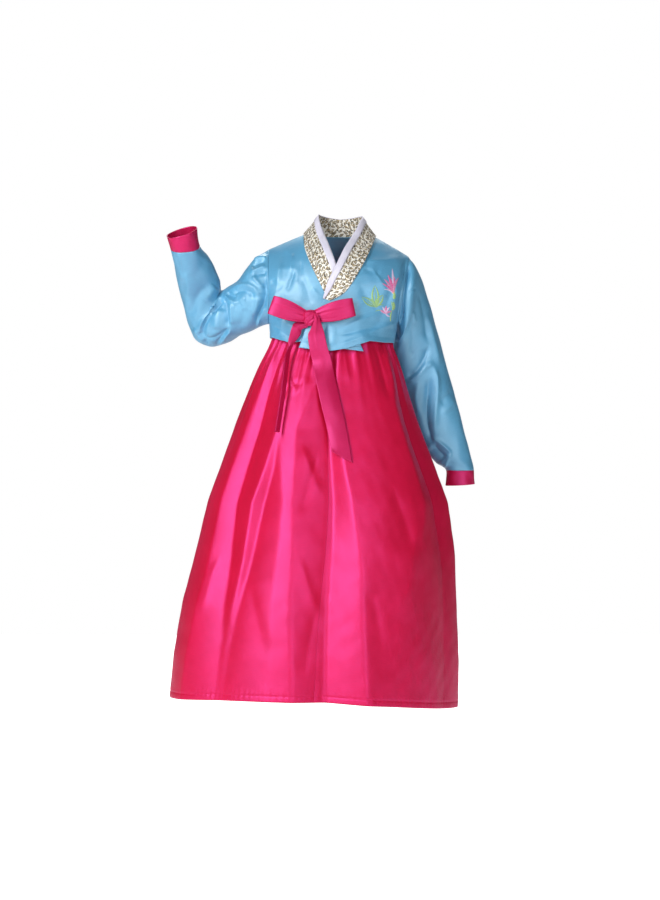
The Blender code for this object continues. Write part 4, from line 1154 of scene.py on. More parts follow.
@dataclass
class Jeogori:
    """The jacket's body: the back, the under front and the over front that laps across it."""

    collar: Collar
    armhole_rows: int = 90
    lower_rows: int = 30
    columns: int = 120
    neck_left: float = 0.0675
    neck_right: float = -0.059
    back_neck_z: float = -0.0005
    back_columns: tuple[int, int, int] = (48, 44, 48)
    rumpled: Triple = (0.00035, 1.3, 0.03)  # height, squash and size
    hem_fold: float = 0.011                 # depth of the turned hem
    hem_height: float = 0.0004
    stitch_depth: float = 0.0003
    stitch_width: float = 0.0016
    collar_fade: Pair = (0.03, 0.2)         # where the under front's creases begin
    hollow_reach: float = 0.0075
    left_creases: tuple[Crease, ...] = table_of(
        Crease,
        ((0.066, -0.07), (0.098, -0.122), 0.006, 0.0022, 1.4, 0.3),
        ((0.052, -0.06), (0.128, -0.052), 0.008, 0.0024, 1.6, 0.2),
        ((0.05, -0.074), (0.084, -0.084), 0.006, -0.0022, 1.4, 0.2),
        ((0.04, -0.105), (0.09, -0.17), 0.011, -0.0026, 1.6, 0.2),
        ((0.01, -0.19), (0.104, -0.15), 0.009, 0.0032, 1.5, 0.3),
        ((0.004, -0.206), (0.08, -0.186), 0.0065, -0.0032, 1.4, -0.3),
        ((0.06, -0.2), (0.118, -0.176), 0.006, 0.0028, 1.4, 0.2),
        ((0.0, -0.226), (0.062, -0.204), 0.0055, 0.0026, 1.5, 0.2),
        ((-0.03, -0.182), (-0.064, -0.222), 0.006, 0.003, 1.4, 0.2),
        ((-0.02, -0.18), (-0.04, -0.226), 0.0055, -0.0028, 1.4, 0.0),
        ((-0.008, -0.186), (-0.01, -0.228), 0.005, 0.0024, 1.4, 0.0),
        ((0.134, -0.052), (0.12, -0.2), 0.006, -0.0042, 1.5, 0.0),
        ((0.116, -0.09), (0.104, -0.19), 0.011, 0.0026, 1.5, 0.2),
        ((0.11, -0.11), (0.07, -0.205), 0.01, -0.0028, 1.6, 0.2),
        ((0.03, -0.15), (0.078, -0.13), 0.007, 0.002, 1.5, 0.2))
    right_creases: tuple[Crease, ...] = table_of(
        Crease,
        ((-0.112, -0.05), (-0.126, -0.15), 0.011, 0.004, 1.5, 0.3),
        ((-0.086, -0.074), (-0.102, -0.122), 0.006, -0.0034, 1.3, -0.3),
        ((-0.104, -0.034), (-0.104, -0.072), 0.009, -0.0016, 2.0, 0.0),
        ((-0.088, -0.04), (-0.094, -0.08), 0.005, 0.0026, 1.4, 0.2),
        ((-0.072, -0.056), (-0.078, -0.104), 0.006, -0.002, 1.4, 0.0),
        ((-0.052, -0.112), (-0.03, -0.134), 0.006, 0.0022, 1.5, 0.2),
        ((-0.07, -0.09), (-0.052, -0.15), 0.009, -0.0024, 1.6, 0.2),
        ((-0.132, -0.094), (-0.112, -0.116), 0.008, -0.0024, 1.8, 0.0),
        ((-0.138, -0.128), (-0.11, -0.136), 0.007, 0.003, 1.4, 0.0),
        ((-0.136, -0.164), (-0.11, -0.15), 0.006, -0.0032, 1.4, 0.0),
        ((-0.124, -0.166), (-0.076, -0.196), 0.007, 0.0032, 1.4, 0.2),
        ((-0.128, -0.184), (-0.088, -0.214), 0.0055, -0.0028, 1.4, 0.0),
        ((-0.1, -0.15), (-0.118, -0.208), 0.007, 0.0026, 1.5, 0.2))
    back_creases: tuple[Crease, ...] = table_of(
        Crease,
        ((0.1, -0.06), (0.06, -0.15), 0.011, 0.0026, 1.6, 0.2),
        ((0.118, -0.1), (0.076, -0.2), 0.008, -0.0026, 1.5, 0.2),
        ((-0.104, -0.05), (-0.05, -0.16), 0.012, 0.0026, 1.6, 0.3),
        ((-0.118, -0.09), (-0.08, -0.196), 0.008, -0.0026, 1.5, 0.2),
        ((-0.06, -0.03), (0.06, -0.034), 0.01, -0.0018, 1.8, 0.0),
        ((-0.034, -0.17), (-0.012, -0.224), 0.006, 0.0018, 1.5, 0.2),
        ((0.026, -0.166), (0.014, -0.222), 0.007, -0.0016, 1.5, 0.2),
        ((0.07, -0.15), (0.104, -0.212), 0.0065, 0.002, 1.4, 0.3),
        ((-0.09, -0.16), (-0.116, -0.206), 0.006, 0.0018, 1.4, 0.2),
        ((-0.02, -0.06), (-0.034, -0.15), 0.014, 0.0012, 1.8, 0.2))

    def front_points(self, edge: Sequence[Point2], hem: Sequence[Point2], side: Side, lifted: bool) -> Array:
        """Outer points of a front: rows from the shoulder down, columns from its free edge to its side.

        Args:
            edge: x of the free edge at each height.
            hem: Height of the hem at each x.
            side: The wearer's side that it covers.
            lifted: Whether it laps over the other front and the collar.

        Returns:
            The grid of points.
        """
        sign = float(side.value)
        hem_z = float(along(hem, sign))
        z_out = BODY.edge_rows(hem_z, sign, self.armhole_rows, self.lower_rows)
        x_out = BODY.lean(z_out) + sign * BODY.side_x(z_out, np.float64(sign))
        tip = float(BODY.tip_z(np.float64(sign)))
        share = (tip - z_out) / (tip - hem_z)

        def row_z(x: Array, share: Array) -> Array:
            """Height of a row over a point x."""
            top = BODY.seam_height(x)
            return top - share * (top - along(hem, x))

        z_in = z_out.copy()
        for _ in range(SETTLE * 4):
            z_in = 0.5 * (z_in + row_z(along(edge, z_in), share))
        x_in = along(edge, z_in)[:, None]
        across = np.linspace(0.0, 1.0, self.columns)[None, :]
        z = np.repeat(z_in[:, None], self.columns, axis=1)
        for _ in range(SETTLE):
            x = BODY.between(x_in, x_out[:, None], across, z)
            z = row_z(x, share[:, None])
        x[:, -1], z[:, -1] = x_out, z_out
        lift = self.collar.overlap_lift(x, z) if lifted else 0.0 * x
        depth = BODY.depth(x, z, lift)
        depth[0] = 0.0
        depth -= armhole_hollow(z, side) * np.exp(-((x - x_out[:, None]) / self.hollow_reach) ** 2)
        return np.stack([x, -depth - SEAM_GAP / 2, z], axis=2)

    def back_points(self) -> Array:
        """Outer points of the back, columns from the wearer's right side to the left.

        Returns:
            The grid.
        """
        ends = {}
        for side, (_, hem_z) in ((Side.RIGHT, BACK_HEM[0]), (Side.LEFT, BACK_HEM[-1])):
            sign = np.float64(side.value)
            z = BODY.edge_rows(hem_z, float(sign), self.armhole_rows, self.lower_rows)
            tip = float(BODY.tip_z(sign))
            ends[side] = (BODY.lean(z) + sign * BODY.side_x(z, sign), z, (tip - z) / (tip - hem_z))
        (x_right, z_right, share_right), (x_left, z_left, share_left) = ends[Side.RIGHT], ends[Side.LEFT]
        spans = ((x_right, self.neck_right, self.back_columns[0]),
                 (self.neck_right, self.neck_left, self.back_columns[1]),
                 (self.neck_left, x_left, self.back_columns[2]))
        columns = []
        for x0, x1, count in spans:
            across = np.arange(1, count + 1)[None, :] / count
            z = np.repeat(z_left[:, None], count, axis=1)
            x0, x1 = (np.reshape(np.broadcast_to(end, z_left.shape), (-1, 1)) for end in (x0, x1))
            for _ in range(SETTLE):
                x = BODY.between(x0, x1, across, z)
                mix = smooth((x - self.neck_right) / (self.neck_left - self.neck_right))
                share = share_right[:, None] + (share_left - share_right)[:, None] * mix
                top = np.minimum(BODY.seam_height(x), self.back_neck_z)
                z = top - share * (top - along(BACK_HEM, x))
            columns.append(np.stack([x, z], axis=2))
        plan = np.concatenate(columns, axis=1)
        plan[:, -1] = np.stack([x_left, z_left], axis=1)
        plan = np.concatenate([np.stack([x_right, z_right], axis=1)[:, None], plan], axis=1)
        x, z = plan[:, :, 0], plan[:, :, 1]
        depth = BODY.depth(x, z, 0.0, front=False)
        on_seam = (x[0] <= self.neck_right) | (x[0] >= self.neck_left)
        depth[0] = np.where(on_seam, 0.0, depth[0])
        return np.stack([x, depth + SEAM_GAP / 2, z], axis=2)

    def relief(self, points: Array, creases: Sequence[Crease], mask: Array, seed: int) -> Array:
        """Press the creases, the turned hem and a light rumple into a panel.

        Args:
            points: The panel's outer points.
            creases: Its creases in front view.
            mask: 0 where the panel is sewn down.
            seed: Picks the rumple.

        Returns:
            The points, moved.
        """
        x, z = points[:, :, 0], points[:, :, 2]
        rise, squash, size = self.rumpled
        height = creased(creases, x, z) + rise * rumple(x, z * squash, size, seed)
        from_hem = lengths(points[::-1], 0)[::-1]
        stitches = np.exp(-((from_hem - self.hem_fold) / self.stitch_width) ** 2)
        height = height * mask
        height += self.hem_height * smooth(1.0 - from_hem / self.hem_fold) - self.stitch_depth * stitches
        normals = sheet_normals(points)
        normals *= np.sign((normals[:, :, 1] * points[:, :, 1]).sum())
        return points + normals * height[:, :, None]

    def build(self, satin: bpy.types.Material) -> list[bpy.types.Object]:
        """Make the three panels.

        Args:
            satin: Their cloth.

        Returns:
            The back, the under front and the over front.
        """
        rows = self.armhole_rows + self.lower_rows
        front_mask = seam_mask(rows, self.columns, (False, True), (True, False))
        back = self.back_points()
        back_mask = seam_mask(rows, back.shape[1], (False, True), (False, False))
        under = self.front_points(RIGHT_FRONT_EDGE, RIGHT_HEM, Side.RIGHT, False)
        over = self.front_points(LEFT_FRONT_EDGE, LEFT_HEM, Side.LEFT, True)
        fade, clear = self.collar_fade
        collar_zone = smooth((along(RIGHT_FRONT_EDGE, under[:, :, 2]) - under[:, :, 0]) / fade - clear)
        panels = (
            ("jeogori_back", back, self.back_creases, back_mask,
             Cut(0.4, 0.26, 0.085, "stretched", ("chima_band",))),
            ("jeogori_front_right", under, self.right_creases, front_mask * collar_zone,
             Cut(0.23, 0.26, 0.042, "stretched", ("chima_band",))),
            ("jeogori_front_left", over, self.left_creases, front_mask,
             Cut(0.25, 0.26, 0.045, "stretched", ("jeogori_front_right",))),
        )
        made = []
        for seed, (name, points, creases, mask, cut) in enumerate(panels, start=3):
            outward = (0.0, 1.0 if points is back else -1.0, 0.0)
            piece = Cloth(name, self.relief(points, creases, mask, seed), outward).build(satin)
            made.append(hand_over(piece, "sky_satin", cut, name))
        return made


# ---- sleeves -----------------------------------------------------------------------------------------
class Section(NamedTuple):
    """A ring of a sleeve in front view: its upper and lower edge, its middle's y and half depth.

    The last two sections of a sleeve are the two edges of its cuff.
    """

    top: Point2
    bottom: Point2
    y: float
    depth: float


RIGHT_SLEEVE = table_of(
    Section,
    ((-0.1601, -0.0437), (-0.159, -0.1838), 0.003, 0.05),
    ((-0.1804, -0.0652), (-0.1844, -0.1955), 0.01, 0.048),
    ((-0.1985, -0.089), (-0.2068, -0.2051), 0.018, 0.046),
    ((-0.2192, -0.103), (-0.2333, -0.2177), 0.026, 0.044),
    ((-0.2306, -0.1085), (-0.2598, -0.2215), 0.032, 0.043),
    ((-0.2352, -0.1065), (-0.2861, -0.2075), 0.034, 0.042),
    ((-0.2368, -0.099), (-0.2999, -0.1803), 0.029, 0.041),
    ((-0.24, -0.084), (-0.308, -0.145), 0.015, 0.039),
    ((-0.2478, -0.0623), (-0.3167, -0.1103), -0.004, 0.0365),
    ((-0.2585, -0.0443), (-0.3231, -0.0761), -0.027, 0.034),
    ((-0.2728, -0.028), (-0.3305, -0.0319), -0.055, 0.031),
    ((-0.2784, 0.0083), (-0.3379, -0.0095), -0.068, 0.03))
LEFT_SLEEVE = table_of(
    Section,
    ((0.15, -0.057), (0.124, -0.201), 0.01, 0.049),
    ((0.1668, -0.086), (0.1166, -0.216), 0.027, 0.048),
    ((0.1805, -0.1252), (0.1115, -0.234), 0.042, 0.046),
    ((0.1944, -0.169), (0.115, -0.2621), 0.053, 0.044),
    ((0.2089, -0.2173), (0.131, -0.3004), 0.059, 0.0415),
    ((0.2273, -0.284), (0.147, -0.3469), 0.062, 0.0385),
    ((0.2436, -0.3448), (0.164, -0.3935), 0.064, 0.0355),
    ((0.2578, -0.3975), (0.18, -0.43), 0.065, 0.0325),
    ((0.268, -0.4361), (0.1991, -0.456), 0.066, 0.03),
    ((0.2762, -0.4706), (0.2194, -0.4706), 0.067, 0.028),
    ((0.2773, -0.499), (0.2184, -0.5021), 0.068, 0.0285))


@dataclass
class Sleeve:
    """A sleeve from the armhole to the cuff's seam, and the cuff band sewn on beyond it."""

    side: Side
    sections: tuple[Section, ...]
    folds: tuple[Fold, ...]
    creases: tuple[Crease, ...]     # their ends are shares of its length and of a turn
    sleeve_cut: Cut = Cut(0.34, 0.42, 0.115, "stretched", ("jeogori_back",))
    cuff_cut: Cut = Cut(0.2, 0.036, 0.0068, "stretched", ("jeogori_back",))
    around: int = 192
    steps: int = 15
    power: float = 2.15
    length: float = 0.36
    girth: float = 0.3
    seam_reach: float = 0.018
    rumpled: Pair = (0.0005, 0.05)  # height and size
    wave_height: float = 0.0006
    waves: tuple[tuple[int, float, float], ...] = (  # waves round it, their pitch along it, phase
        (2, 0.1, 0.4), (3, 0.07, 2.1), (5, 0.055, 4.4), (4, 0.12, 5.3), (7, 0.04, 1.0))
    wave_stretch: float = 1.3  # how much longer the waves that wind the other way are
    wave_total: float = 3.2    # what their sum is divided by
    facing: Pair = (1.6, 0.1)  # how folds seen in front view fade at its edges

    def armhole_ring(self) -> Array:
        """The armhole's edge, over the front from the shoulder tip to the underarm and back.

        Returns:
            The ring.
        """
        turn = 2.0 * math.pi * np.arange(self.around) / self.around
        sign = np.float64(self.side.value)
        tip = float(BODY.tip_z(sign))
        middle = 0.5 * (tip + BODY.underarm_z)
        z = middle + (tip - middle) * np.cos(turn)
        x = BODY.lean(z) + sign * BODY.side_x(z, sign)
        front = armhole_hollow(z, self.side) - BODY.depth(x, z)
        y = np.where(turn <= math.pi, front, BODY.depth(x, z, front=False))
        return np.stack([x + sign * SEAM_GAP, y, z], axis=1)

    def section_ring(self, section: Section, direction: Array) -> Array:
        """One ring of the sleeve, square to the direction that the sleeve runs in.

        Args:
            section: Where it goes.
            direction: The way that the sleeve runs.

        Returns:
            The ring.
        """
        top = np.array((section.top[0], section.y, section.top[1]))
        bottom = np.array((section.bottom[0], section.y, section.bottom[1]))
        middle, half = 0.5 * (top + bottom), 0.5 * (top - bottom)
        run = np.array((half[2], 0.0, -half[0])) / np.linalg.norm(half)
        tilt = direction[1] * (run @ direction) / (direction @ direction)
        forward = run * tilt - np.array((0.0, 1.0, 0.0))
        forward *= section.depth / np.linalg.norm(forward)
        up, out = rounded(2.0 * math.pi * np.arange(self.around) / self.around, self.power)
        return middle + half * up[:, None] + forward * out[:, None]

    def sheet(self) -> Array:
        """Rings from the armhole on through the sections, with the creases pressed in.

        Returns:
            The grid, rings by points round them.
        """
        middles = np.array([(0.5 * (s.top[0] + s.bottom[0]), s.y, 0.5 * (s.top[1] + s.bottom[1]))
                            for s in self.sections])
        directions = np.gradient(middles, axis=0)
        rings = [self.armhole_ring()]
        rings += [self.section_ring(s, d) for s, d in zip(self.sections, directions)]
        rings = np.array(rings)
        sheet = curve_through(rings.reshape(len(rings), -1), self.steps).reshape(-1, self.around, 3)
        normals = sheet_normals(sheet, True)
        away = sheet - sheet.mean(axis=1, keepdims=True)
        normals *= np.sign((normals * away).sum(axis=2, keepdims=True))
        u = np.linspace(0.0, 1.0, len(sheet))[:, None]
        v = np.arange(self.around)[None, :] / self.around
        rise, size = self.rumpled
        height = rise * rumple(u * self.length, v * 0.0, size, 7)
        height = height + self.wave_height * self.wrapped(u, v)
        for crease in self.creases:
            for turn in (-1.0, 0.0, 1.0):
                start, end = ((spot[0] * self.length, (spot[1] + turn) * self.girth)
                              for spot in (crease.start, crease.end))
                line = replace(crease, start=start, end=end)
                height = height + line.over(u * self.length, v * self.girth)
        gain, least = self.facing
        in_front = smooth(gain * clamp(-normals[:, :, 1]) + least)
        height = height + creased(self.folds, sheet[:, :, 0], sheet[:, :, 2]) * in_front
        sewn = smooth(u / self.seam_reach)
        return sheet + normals * (height * sewn)[:, :, None]

    def wrapped(self, u: Array, v: Array) -> Array:
        """A rumple that meets itself after a turn.

        Args:
            u: Share of the length.
            v: Share of a turn.

        Returns:
            Its height, about -1 to 1.
        """
        turn = 2.0 * math.pi * v
        run = 2.0 * math.pi * u * self.length
        total = 0.0
        for waves, pitch, phase in self.waves:
            total = total + np.sin(turn * waves + run / pitch + phase)
            total = total + np.sin(turn * waves - run / (pitch * self.wave_stretch) + 2 * phase)
        return total / self.wave_total

    def build(self, satin: bpy.types.Material, ribbon: bpy.types.Material) -> list[bpy.types.Object]:
        """Make the sleeve and its cuff.

        Args:
            satin: The sleeve's cloth.
            ribbon: The cuff's cloth.

        Returns:
            Both pieces.
        """
        word = self.side.name.lower()
        sheet = self.sheet()
        seam = len(sheet) - 1 - self.steps
        sleeve = Cloth("sleeve_" + word, sheet[:seam + 1], None, closed=True).build(satin)
        band = sheet[seam:].copy()
        step = band[1] - band[0]
        band[0] += SEAM_GAP * step / np.linalg.norm(step, axis=1, keepdims=True)
        cuff = Cloth("cuff_" + word, band, None, closed=True).build(ribbon)
        names = [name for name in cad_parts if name.startswith("sleeve_" + word)]
        hand_over(sleeve, "sky_satin", self.sleeve_cut, *names)
        hand_over(cuff, "pink_ribbon", self.cuff_cut, "cuff_" + word)
        return [sleeve, cuff]


# ---- skirt -------------------------------------------------------------------------------------------
class Level(NamedTuple):
    """A level ring of the skirt: its middle, half breadth, depths, and the height of its gathers."""

    z: float
    middle: float
    half: float
    front: float
    back: float
    gather: float


SKIRT_LEVELS = table_of(
    Level,
    (-0.178, -0.009, 0.1145, 0.085, 0.072, 0.0025),
    (-0.2, -0.0105, 0.116, 0.0885, 0.075, 0.003),
    (-0.222, -0.015, 0.1205, 0.0915, 0.0795, 0.0024),
    (-0.24, -0.016, 0.1295, 0.094, 0.088, 0.0022),
    (-0.27, -0.018, 0.1435, 0.103, 0.099, 0.0014),
    (-0.315, -0.0205, 0.1595, 0.115, 0.112, 0.0006),
    (-0.37, -0.0215, 0.1785, 0.13, 0.128, 0.0002),
    (-0.44, -0.02, 0.204, 0.149, 0.148, 0.0),
    (-0.53, -0.0185, 0.2355, 0.172, 0.173, 0.0),
    (-0.63, -0.024, 0.254, 0.194, 0.196, 0.0),
    (-0.74, -0.036, 0.27, 0.212, 0.216, 0.0),
    (-0.84, -0.0425, 0.2795, 0.224, 0.229, 0.0),
    (-0.929, -0.047, 0.283, 0.231, 0.236, 0.0))


Turn = Triple  # a place on a fold line: height, degrees round the skirt, how far it stands out
WAIST_Z, HEM_Z = -0.24, -0.929  # heights between which the long folds run
FIRST_SHARE, MIDDLE_SHARE = 0.05, 0.6  # how far a plain fold has grown on its way down


def side_fold(waist: float, hem: float, out: float, start: float = -0.28,
              full: float = -0.6) -> tuple[Turn, ...]:
    """A plain fold line that grows on the way down.

    Args:
        waist: Its angle at the waist.
        hem: Its angle at the hem.
        out: How far it stands out.
        start: Height at which it begins to grow.
        full: Height at which it is full.

    Returns:
        Its stations.
    """
    middle = 0.5 * (waist + hem)
    halfway = (0.5 * (start + full), middle, MIDDLE_SHARE * out)
    return ((WAIST_Z, waist, 0.0), (start, waist, FIRST_SHARE * out), halfway,
            (full, middle, out), (HEM_Z, hem, out))


# ridges and valleys in turn; the cloth between two of them is a nearly flat facet
FOLD_LINES = (
    side_fold(5.0, 8.0, 0.004),
    ((-0.24, 19.0, -0.004), (-0.33, 22.0, -0.014), (-0.42, 23.0, -0.02), (-0.536, 21.0, -0.02),
     (-0.67, 22.0, -0.011), (-0.929, 26.0, -0.006)),
    ((-0.24, 31.0, 0.001), (-0.33, 41.0, 0.008), (-0.42, 42.0, 0.011), (-0.536, 40.0, 0.01),
     (-0.68, 50.0, 0.007), (-0.929, 59.0, 0.007)),
    ((-0.24, 86.0, 0.0), (-0.36, 85.0, 0.003), (-0.43, 83.5, 0.007), (-0.534, 80.0, 0.013),
     (-0.677, 75.0, 0.017), (-0.864, 72.0, 0.018), (-0.929, 71.0, 0.018)),
    ((-0.24, 91.0, 0.0), (-0.36, 90.0, -0.006), (-0.411, 89.0, -0.01), (-0.534, 88.3, -0.014),
     (-0.676, 87.8, -0.016), (-0.863, 86.6, -0.016), (-0.929, 86.0, -0.015)),
    ((-0.24, 101.0, 0.001), (-0.297, 97.5, 0.007), (-0.333, 100.5, 0.01), (-0.362, 104.0, 0.011),
     (-0.391, 107.0, 0.0115), (-0.534, 105.0, 0.012), (-0.677, 102.0, 0.012), (-0.863, 98.0, 0.013),
     (-0.929, 97.5, 0.013)),
    ((-0.24, 116.0, 0.001), (-0.3, 117.0, 0.005), (-0.39, 116.5, 0.009), (-0.47, 113.0, 0.0105),
     (-0.534, 110.0, 0.0115), (-0.68, 109.0, 0.011), (-0.865, 107.0, 0.011), (-0.929, 107.0, 0.011)),
    ((-0.24, 118.5, 0.001), (-0.3, 118.8, 0.006), (-0.39, 118.0, 0.01), (-0.47, 118.0, 0.004),
     (-0.535, 121.0, -0.004), (-0.68, 123.5, -0.007), (-0.8, 126.0, -0.006), (-0.929, 128.0, -0.003)),
    ((-0.24, 120.5, 0.001), (-0.3, 120.8, 0.006), (-0.39, 119.8, 0.01), (-0.47, 123.0, 0.01),
     (-0.535, 127.0, 0.007), (-0.68, 127.0, 0.0), (-0.8, 128.5, -0.005), (-0.929, 130.0, -0.003)),
    ((-0.24, 136.0, -0.001), (-0.3, 137.0, -0.006), (-0.39, 137.0, -0.01), (-0.535, 140.5, -0.012),
     (-0.68, 134.5, -0.009), (-0.8, 131.5, -0.006), (-0.929, 131.5, -0.003)),
    ((-0.24, 148.0, 0.001), (-0.3, 148.0, 0.003), (-0.39, 148.5, 0.004), (-0.535, 151.0, 0.006),
     (-0.68, 147.5, 0.011), (-0.865, 150.0, 0.015), (-0.929, 150.5, 0.015)),
    ((-0.24, 160.0, 0.0), (-0.39, 161.0, 0.002), (-0.535, 166.0, 0.004), (-0.68, 163.0, 0.007),
     (-0.929, 167.0, 0.009)),
    side_fold(176.0, 176.0, 0.005),
    side_fold(187.0, 186.0, -0.006),
    side_fold(199.0, 197.0, 0.01),
    side_fold(213.0, 211.0, -0.012),
    side_fold(229.0, 227.0, 0.015, -0.26, -0.52),
    side_fold(243.0, 247.0, -0.014),
    side_fold(258.0, 261.0, 0.016, -0.26, -0.56),
    side_fold(275.0, 281.0, -0.015),
    side_fold(291.0, 294.0, 0.014),
    side_fold(305.0, 309.0, -0.012, -0.3, -0.66),
    side_fold(325.0, 324.0, 0.012),
    side_fold(344.0, 341.0, -0.007),
)

SKIRT_CREASES = table_of(
    Crease,
    ((-0.094, -0.29), (-0.078, -0.318), 0.005, 0.003, 1.3, 0.3),
    ((-0.094, -0.296), (-0.104, -0.33), 0.005, -0.0026, 1.3, 0.2),
    ((-0.092, -0.3), (-0.066, -0.3), 0.0045, -0.0022, 1.3, 0.2),
    ((-0.066, -0.236), (-0.08, -0.31), 0.007, 0.003, 1.3, 0.3),
    ((-0.048, -0.238), (-0.056, -0.3), 0.006, -0.003, 1.3, 0.0),
    ((0.01, -0.226), (0.022, -0.3), 0.007, 0.0016, 1.4, 0.3),
    ((0.074, -0.216), (0.098, -0.33), 0.008, -0.0034, 1.4, 0.0),
    ((0.088, -0.216), (0.116, -0.34), 0.007, 0.0034, 1.4, 0.0),
    ((-0.118, -0.226), (-0.146, -0.33), 0.009, 0.0026, 1.4, 0.3),
    ((-0.104, -0.23), (-0.118, -0.32), 0.007, -0.0026, 1.4, 0.0),
    ((-0.07, -0.42), (-0.036, -0.52), 0.012, 0.003, 1.5, 0.3),
    ((-0.04, -0.44), (-0.07, -0.56), 0.01, -0.0024, 1.5, 0.0),
    ((-0.074, -0.64), (-0.04, -0.76), 0.014, 0.0026, 1.5, 0.3),
    ((-0.044, -0.74), (-0.066, -0.88), 0.012, -0.0024, 1.5, 0.0),
    ((0.1, -0.5), (0.15, -0.64), 0.015, -0.0026, 1.6, 0.2),
    ((0.15, -0.56), (0.12, -0.76), 0.018, 0.0028, 1.6, 0.2),
    ((-0.23, -0.64), (-0.262, -0.76), 0.008, 0.0024, 1.5, 0.2),
    ((-0.17, -0.7), (-0.13, -0.86), 0.018, -0.002, 1.6, 0.2),
    ((0.06, -0.7), (0.09, -0.88), 0.018, -0.002, 1.6, 0.2))


@dataclass
class Chima:
    """The long skirt: four gored panels, folded in crisp facets and gathered into its band."""

    top: float = -0.178
    waist: float = WAIST_Z
    hem: float = HEM_Z
    power: float = 2.1
    hem_tilt: float = -0.011
    hem_rise: float = 0.0185
    gathers: int = 28
    gather_sway: tuple[Triple, ...] = ((0.7, 3.0, 0.6), (0.5, 7.0, 0.0))  # uneven gaps
    gather_lean: Pair = (0.25, 0.8)            # makes one flank steeper: height and phase
    gather_uneven: Triple = (0.35, 5.0, 1.0)   # uneven heights: by how much, waves, phase
    calm: Triple = (50.0, 20.0, 0.55)          # flatter gathers: middle, width, by how much
    rows: int = 168
    columns: int = 140                         # in each panel
    crowding: float = 0.92                     # brings the rows closer together at the waist
    hem_rows: tuple[float, ...] = (0.003, 0.0075, 0.01, 0.012, 0.014, 0.0165, 0.022)  # above the hem
    level_samples: int = 400
    level_kernel: int = 25                     # samples over which the levels are rounded
    fold_step: float = 0.25                    # degrees between two samples of the folds
    fold_round: float = 1.15                   # degrees over which a fold's edge is rounded
    facing: Pair = (2.0, 0.2)                  # how creases seen in front view fade at its edges
    mirror_scale: float = 0.8                  # the back has the front's creases, turned round and weaker
    mirror_shift: float = 0.03
    sway: Pair = (0.001, 0.16)                 # height and size of its large rumple
    sway_slope: Pair = (1.1, 0.55)             # how it runs round the skirt and down it
    rumpled: Pair = (0.0003, 0.045)            # height and size of its small rumple
    hem_width: float = 0.012
    groove: Pair = (0.0006, 0.0022)            # depth and width of the hem's seam
    pucker: Pair = (0.00035, 0.01)             # height and width of the puckers along it
    pucker_waves: Triple = (168.0, 1.5, 23.0)
    seam_sink: Triple = (0.0005, 0.012, 12.0)  # depth, width, how soon it is reached
    tuck: float = 0.0022                       # how far a panel's seam allowance reaches under the next panel

    def level(self, z: Array) -> tuple[Array, ...]:
        """Interpolate the levels.

        Args:
            z: Any heights.

        Returns:
            The skirt's middle, half breadth, two depths and gathers there.
        """
        rows = np.array(SKIRT_LEVELS)[::-1]
        fine = np.linspace(rows[0, 0], rows[-1, 0], self.level_samples)
        kernel = np.exp(-np.linspace(-2.0, 2.0, self.level_kernel) ** 2)
        kernel /= kernel.sum()
        found = []
        for column in rows.T[1:]:
            line = np.interp(fine, rows[:, 0], column)
            ends = np.pad(line, self.level_kernel // 2, mode="reflect", reflect_type="odd")
            found.append(np.interp(z, fine, np.convolve(ends, kernel, mode="valid")))
        return tuple(found)

    def folds(self, degrees: Array, z: Array) -> Array:
        """How far the long folds stand out.

        Args:
            degrees: Angles of the columns.
            z: Heights of the rows.

        Returns:
            A grid, rows by columns.
        """
        turn = np.arange(0.0, 360.0, self.fold_step)
        reach = int(4.0 * self.fold_round / self.fold_step)
        kernel = np.exp(-(np.arange(-reach, reach + 1) * self.fold_step / self.fold_round) ** 2)
        kernel /= kernel.sum()
        grid = []
        for height in z:
            spots, outs = [], []
            for line in FOLD_LINES:
                stations = np.array(line)[::-1]
                spots.append(np.interp(height, stations[:, 0], stations[:, 1]))
                outs.append(np.interp(height, stations[:, 0], stations[:, 2]))
            row = np.interp(turn, spots, outs, period=360.0)
            row = np.convolve(np.concatenate([row[-reach:], row, row[:reach]]), kernel, mode="valid")
            grid.append(np.interp(degrees, turn, row, period=360.0))
        return np.array(grid)

    def gathered(self, degrees: Array, gather: Array) -> Array:
        """How far the gathers stand out.

        Args:
            degrees: Angles of the columns.
            gather: Their height in each row.

        Returns:
            A grid, rows by columns.
        """
        turn = np.radians(degrees)[None, :]
        waves = self.gathers * turn
        for height, count, phase in self.gather_sway:
            waves = waves + height * np.sin(count * turn + phase)
        height, phase = self.gather_lean
        pleat = np.sin(waves) - height * np.sin(2.0 * waves + phase)
        more, count, phase = self.gather_uneven
        middle, width, share = self.calm
        flatter = 1.0 - share * np.exp(-((degrees[None, :] - middle) / width) ** 2)
        return gather * pleat * (1.0 + more * np.sin(count * turn + phase)) * flatter

    def hem_seam(self, turn: Array, z: Array) -> tuple[Array, Array]:
        """The hem's seam.

        Args:
            turn: Angles of the columns, in radians.
            z: Heights of the rows.

        Returns:
            How deep it is and how far its puckers stand out.
        """
        from_seam = (z - self.hem)[:, None] - self.hem_width
        (depth, width), (height, reach) = self.groove, self.pucker
        count, bend, waves = self.pucker_waves
        pucker = np.sin(turn * count + bend * np.sin(turn * waves)) * np.exp(-(from_seam / reach) ** 2)
        return depth * np.exp(-(from_seam / width) ** 2), height * pucker

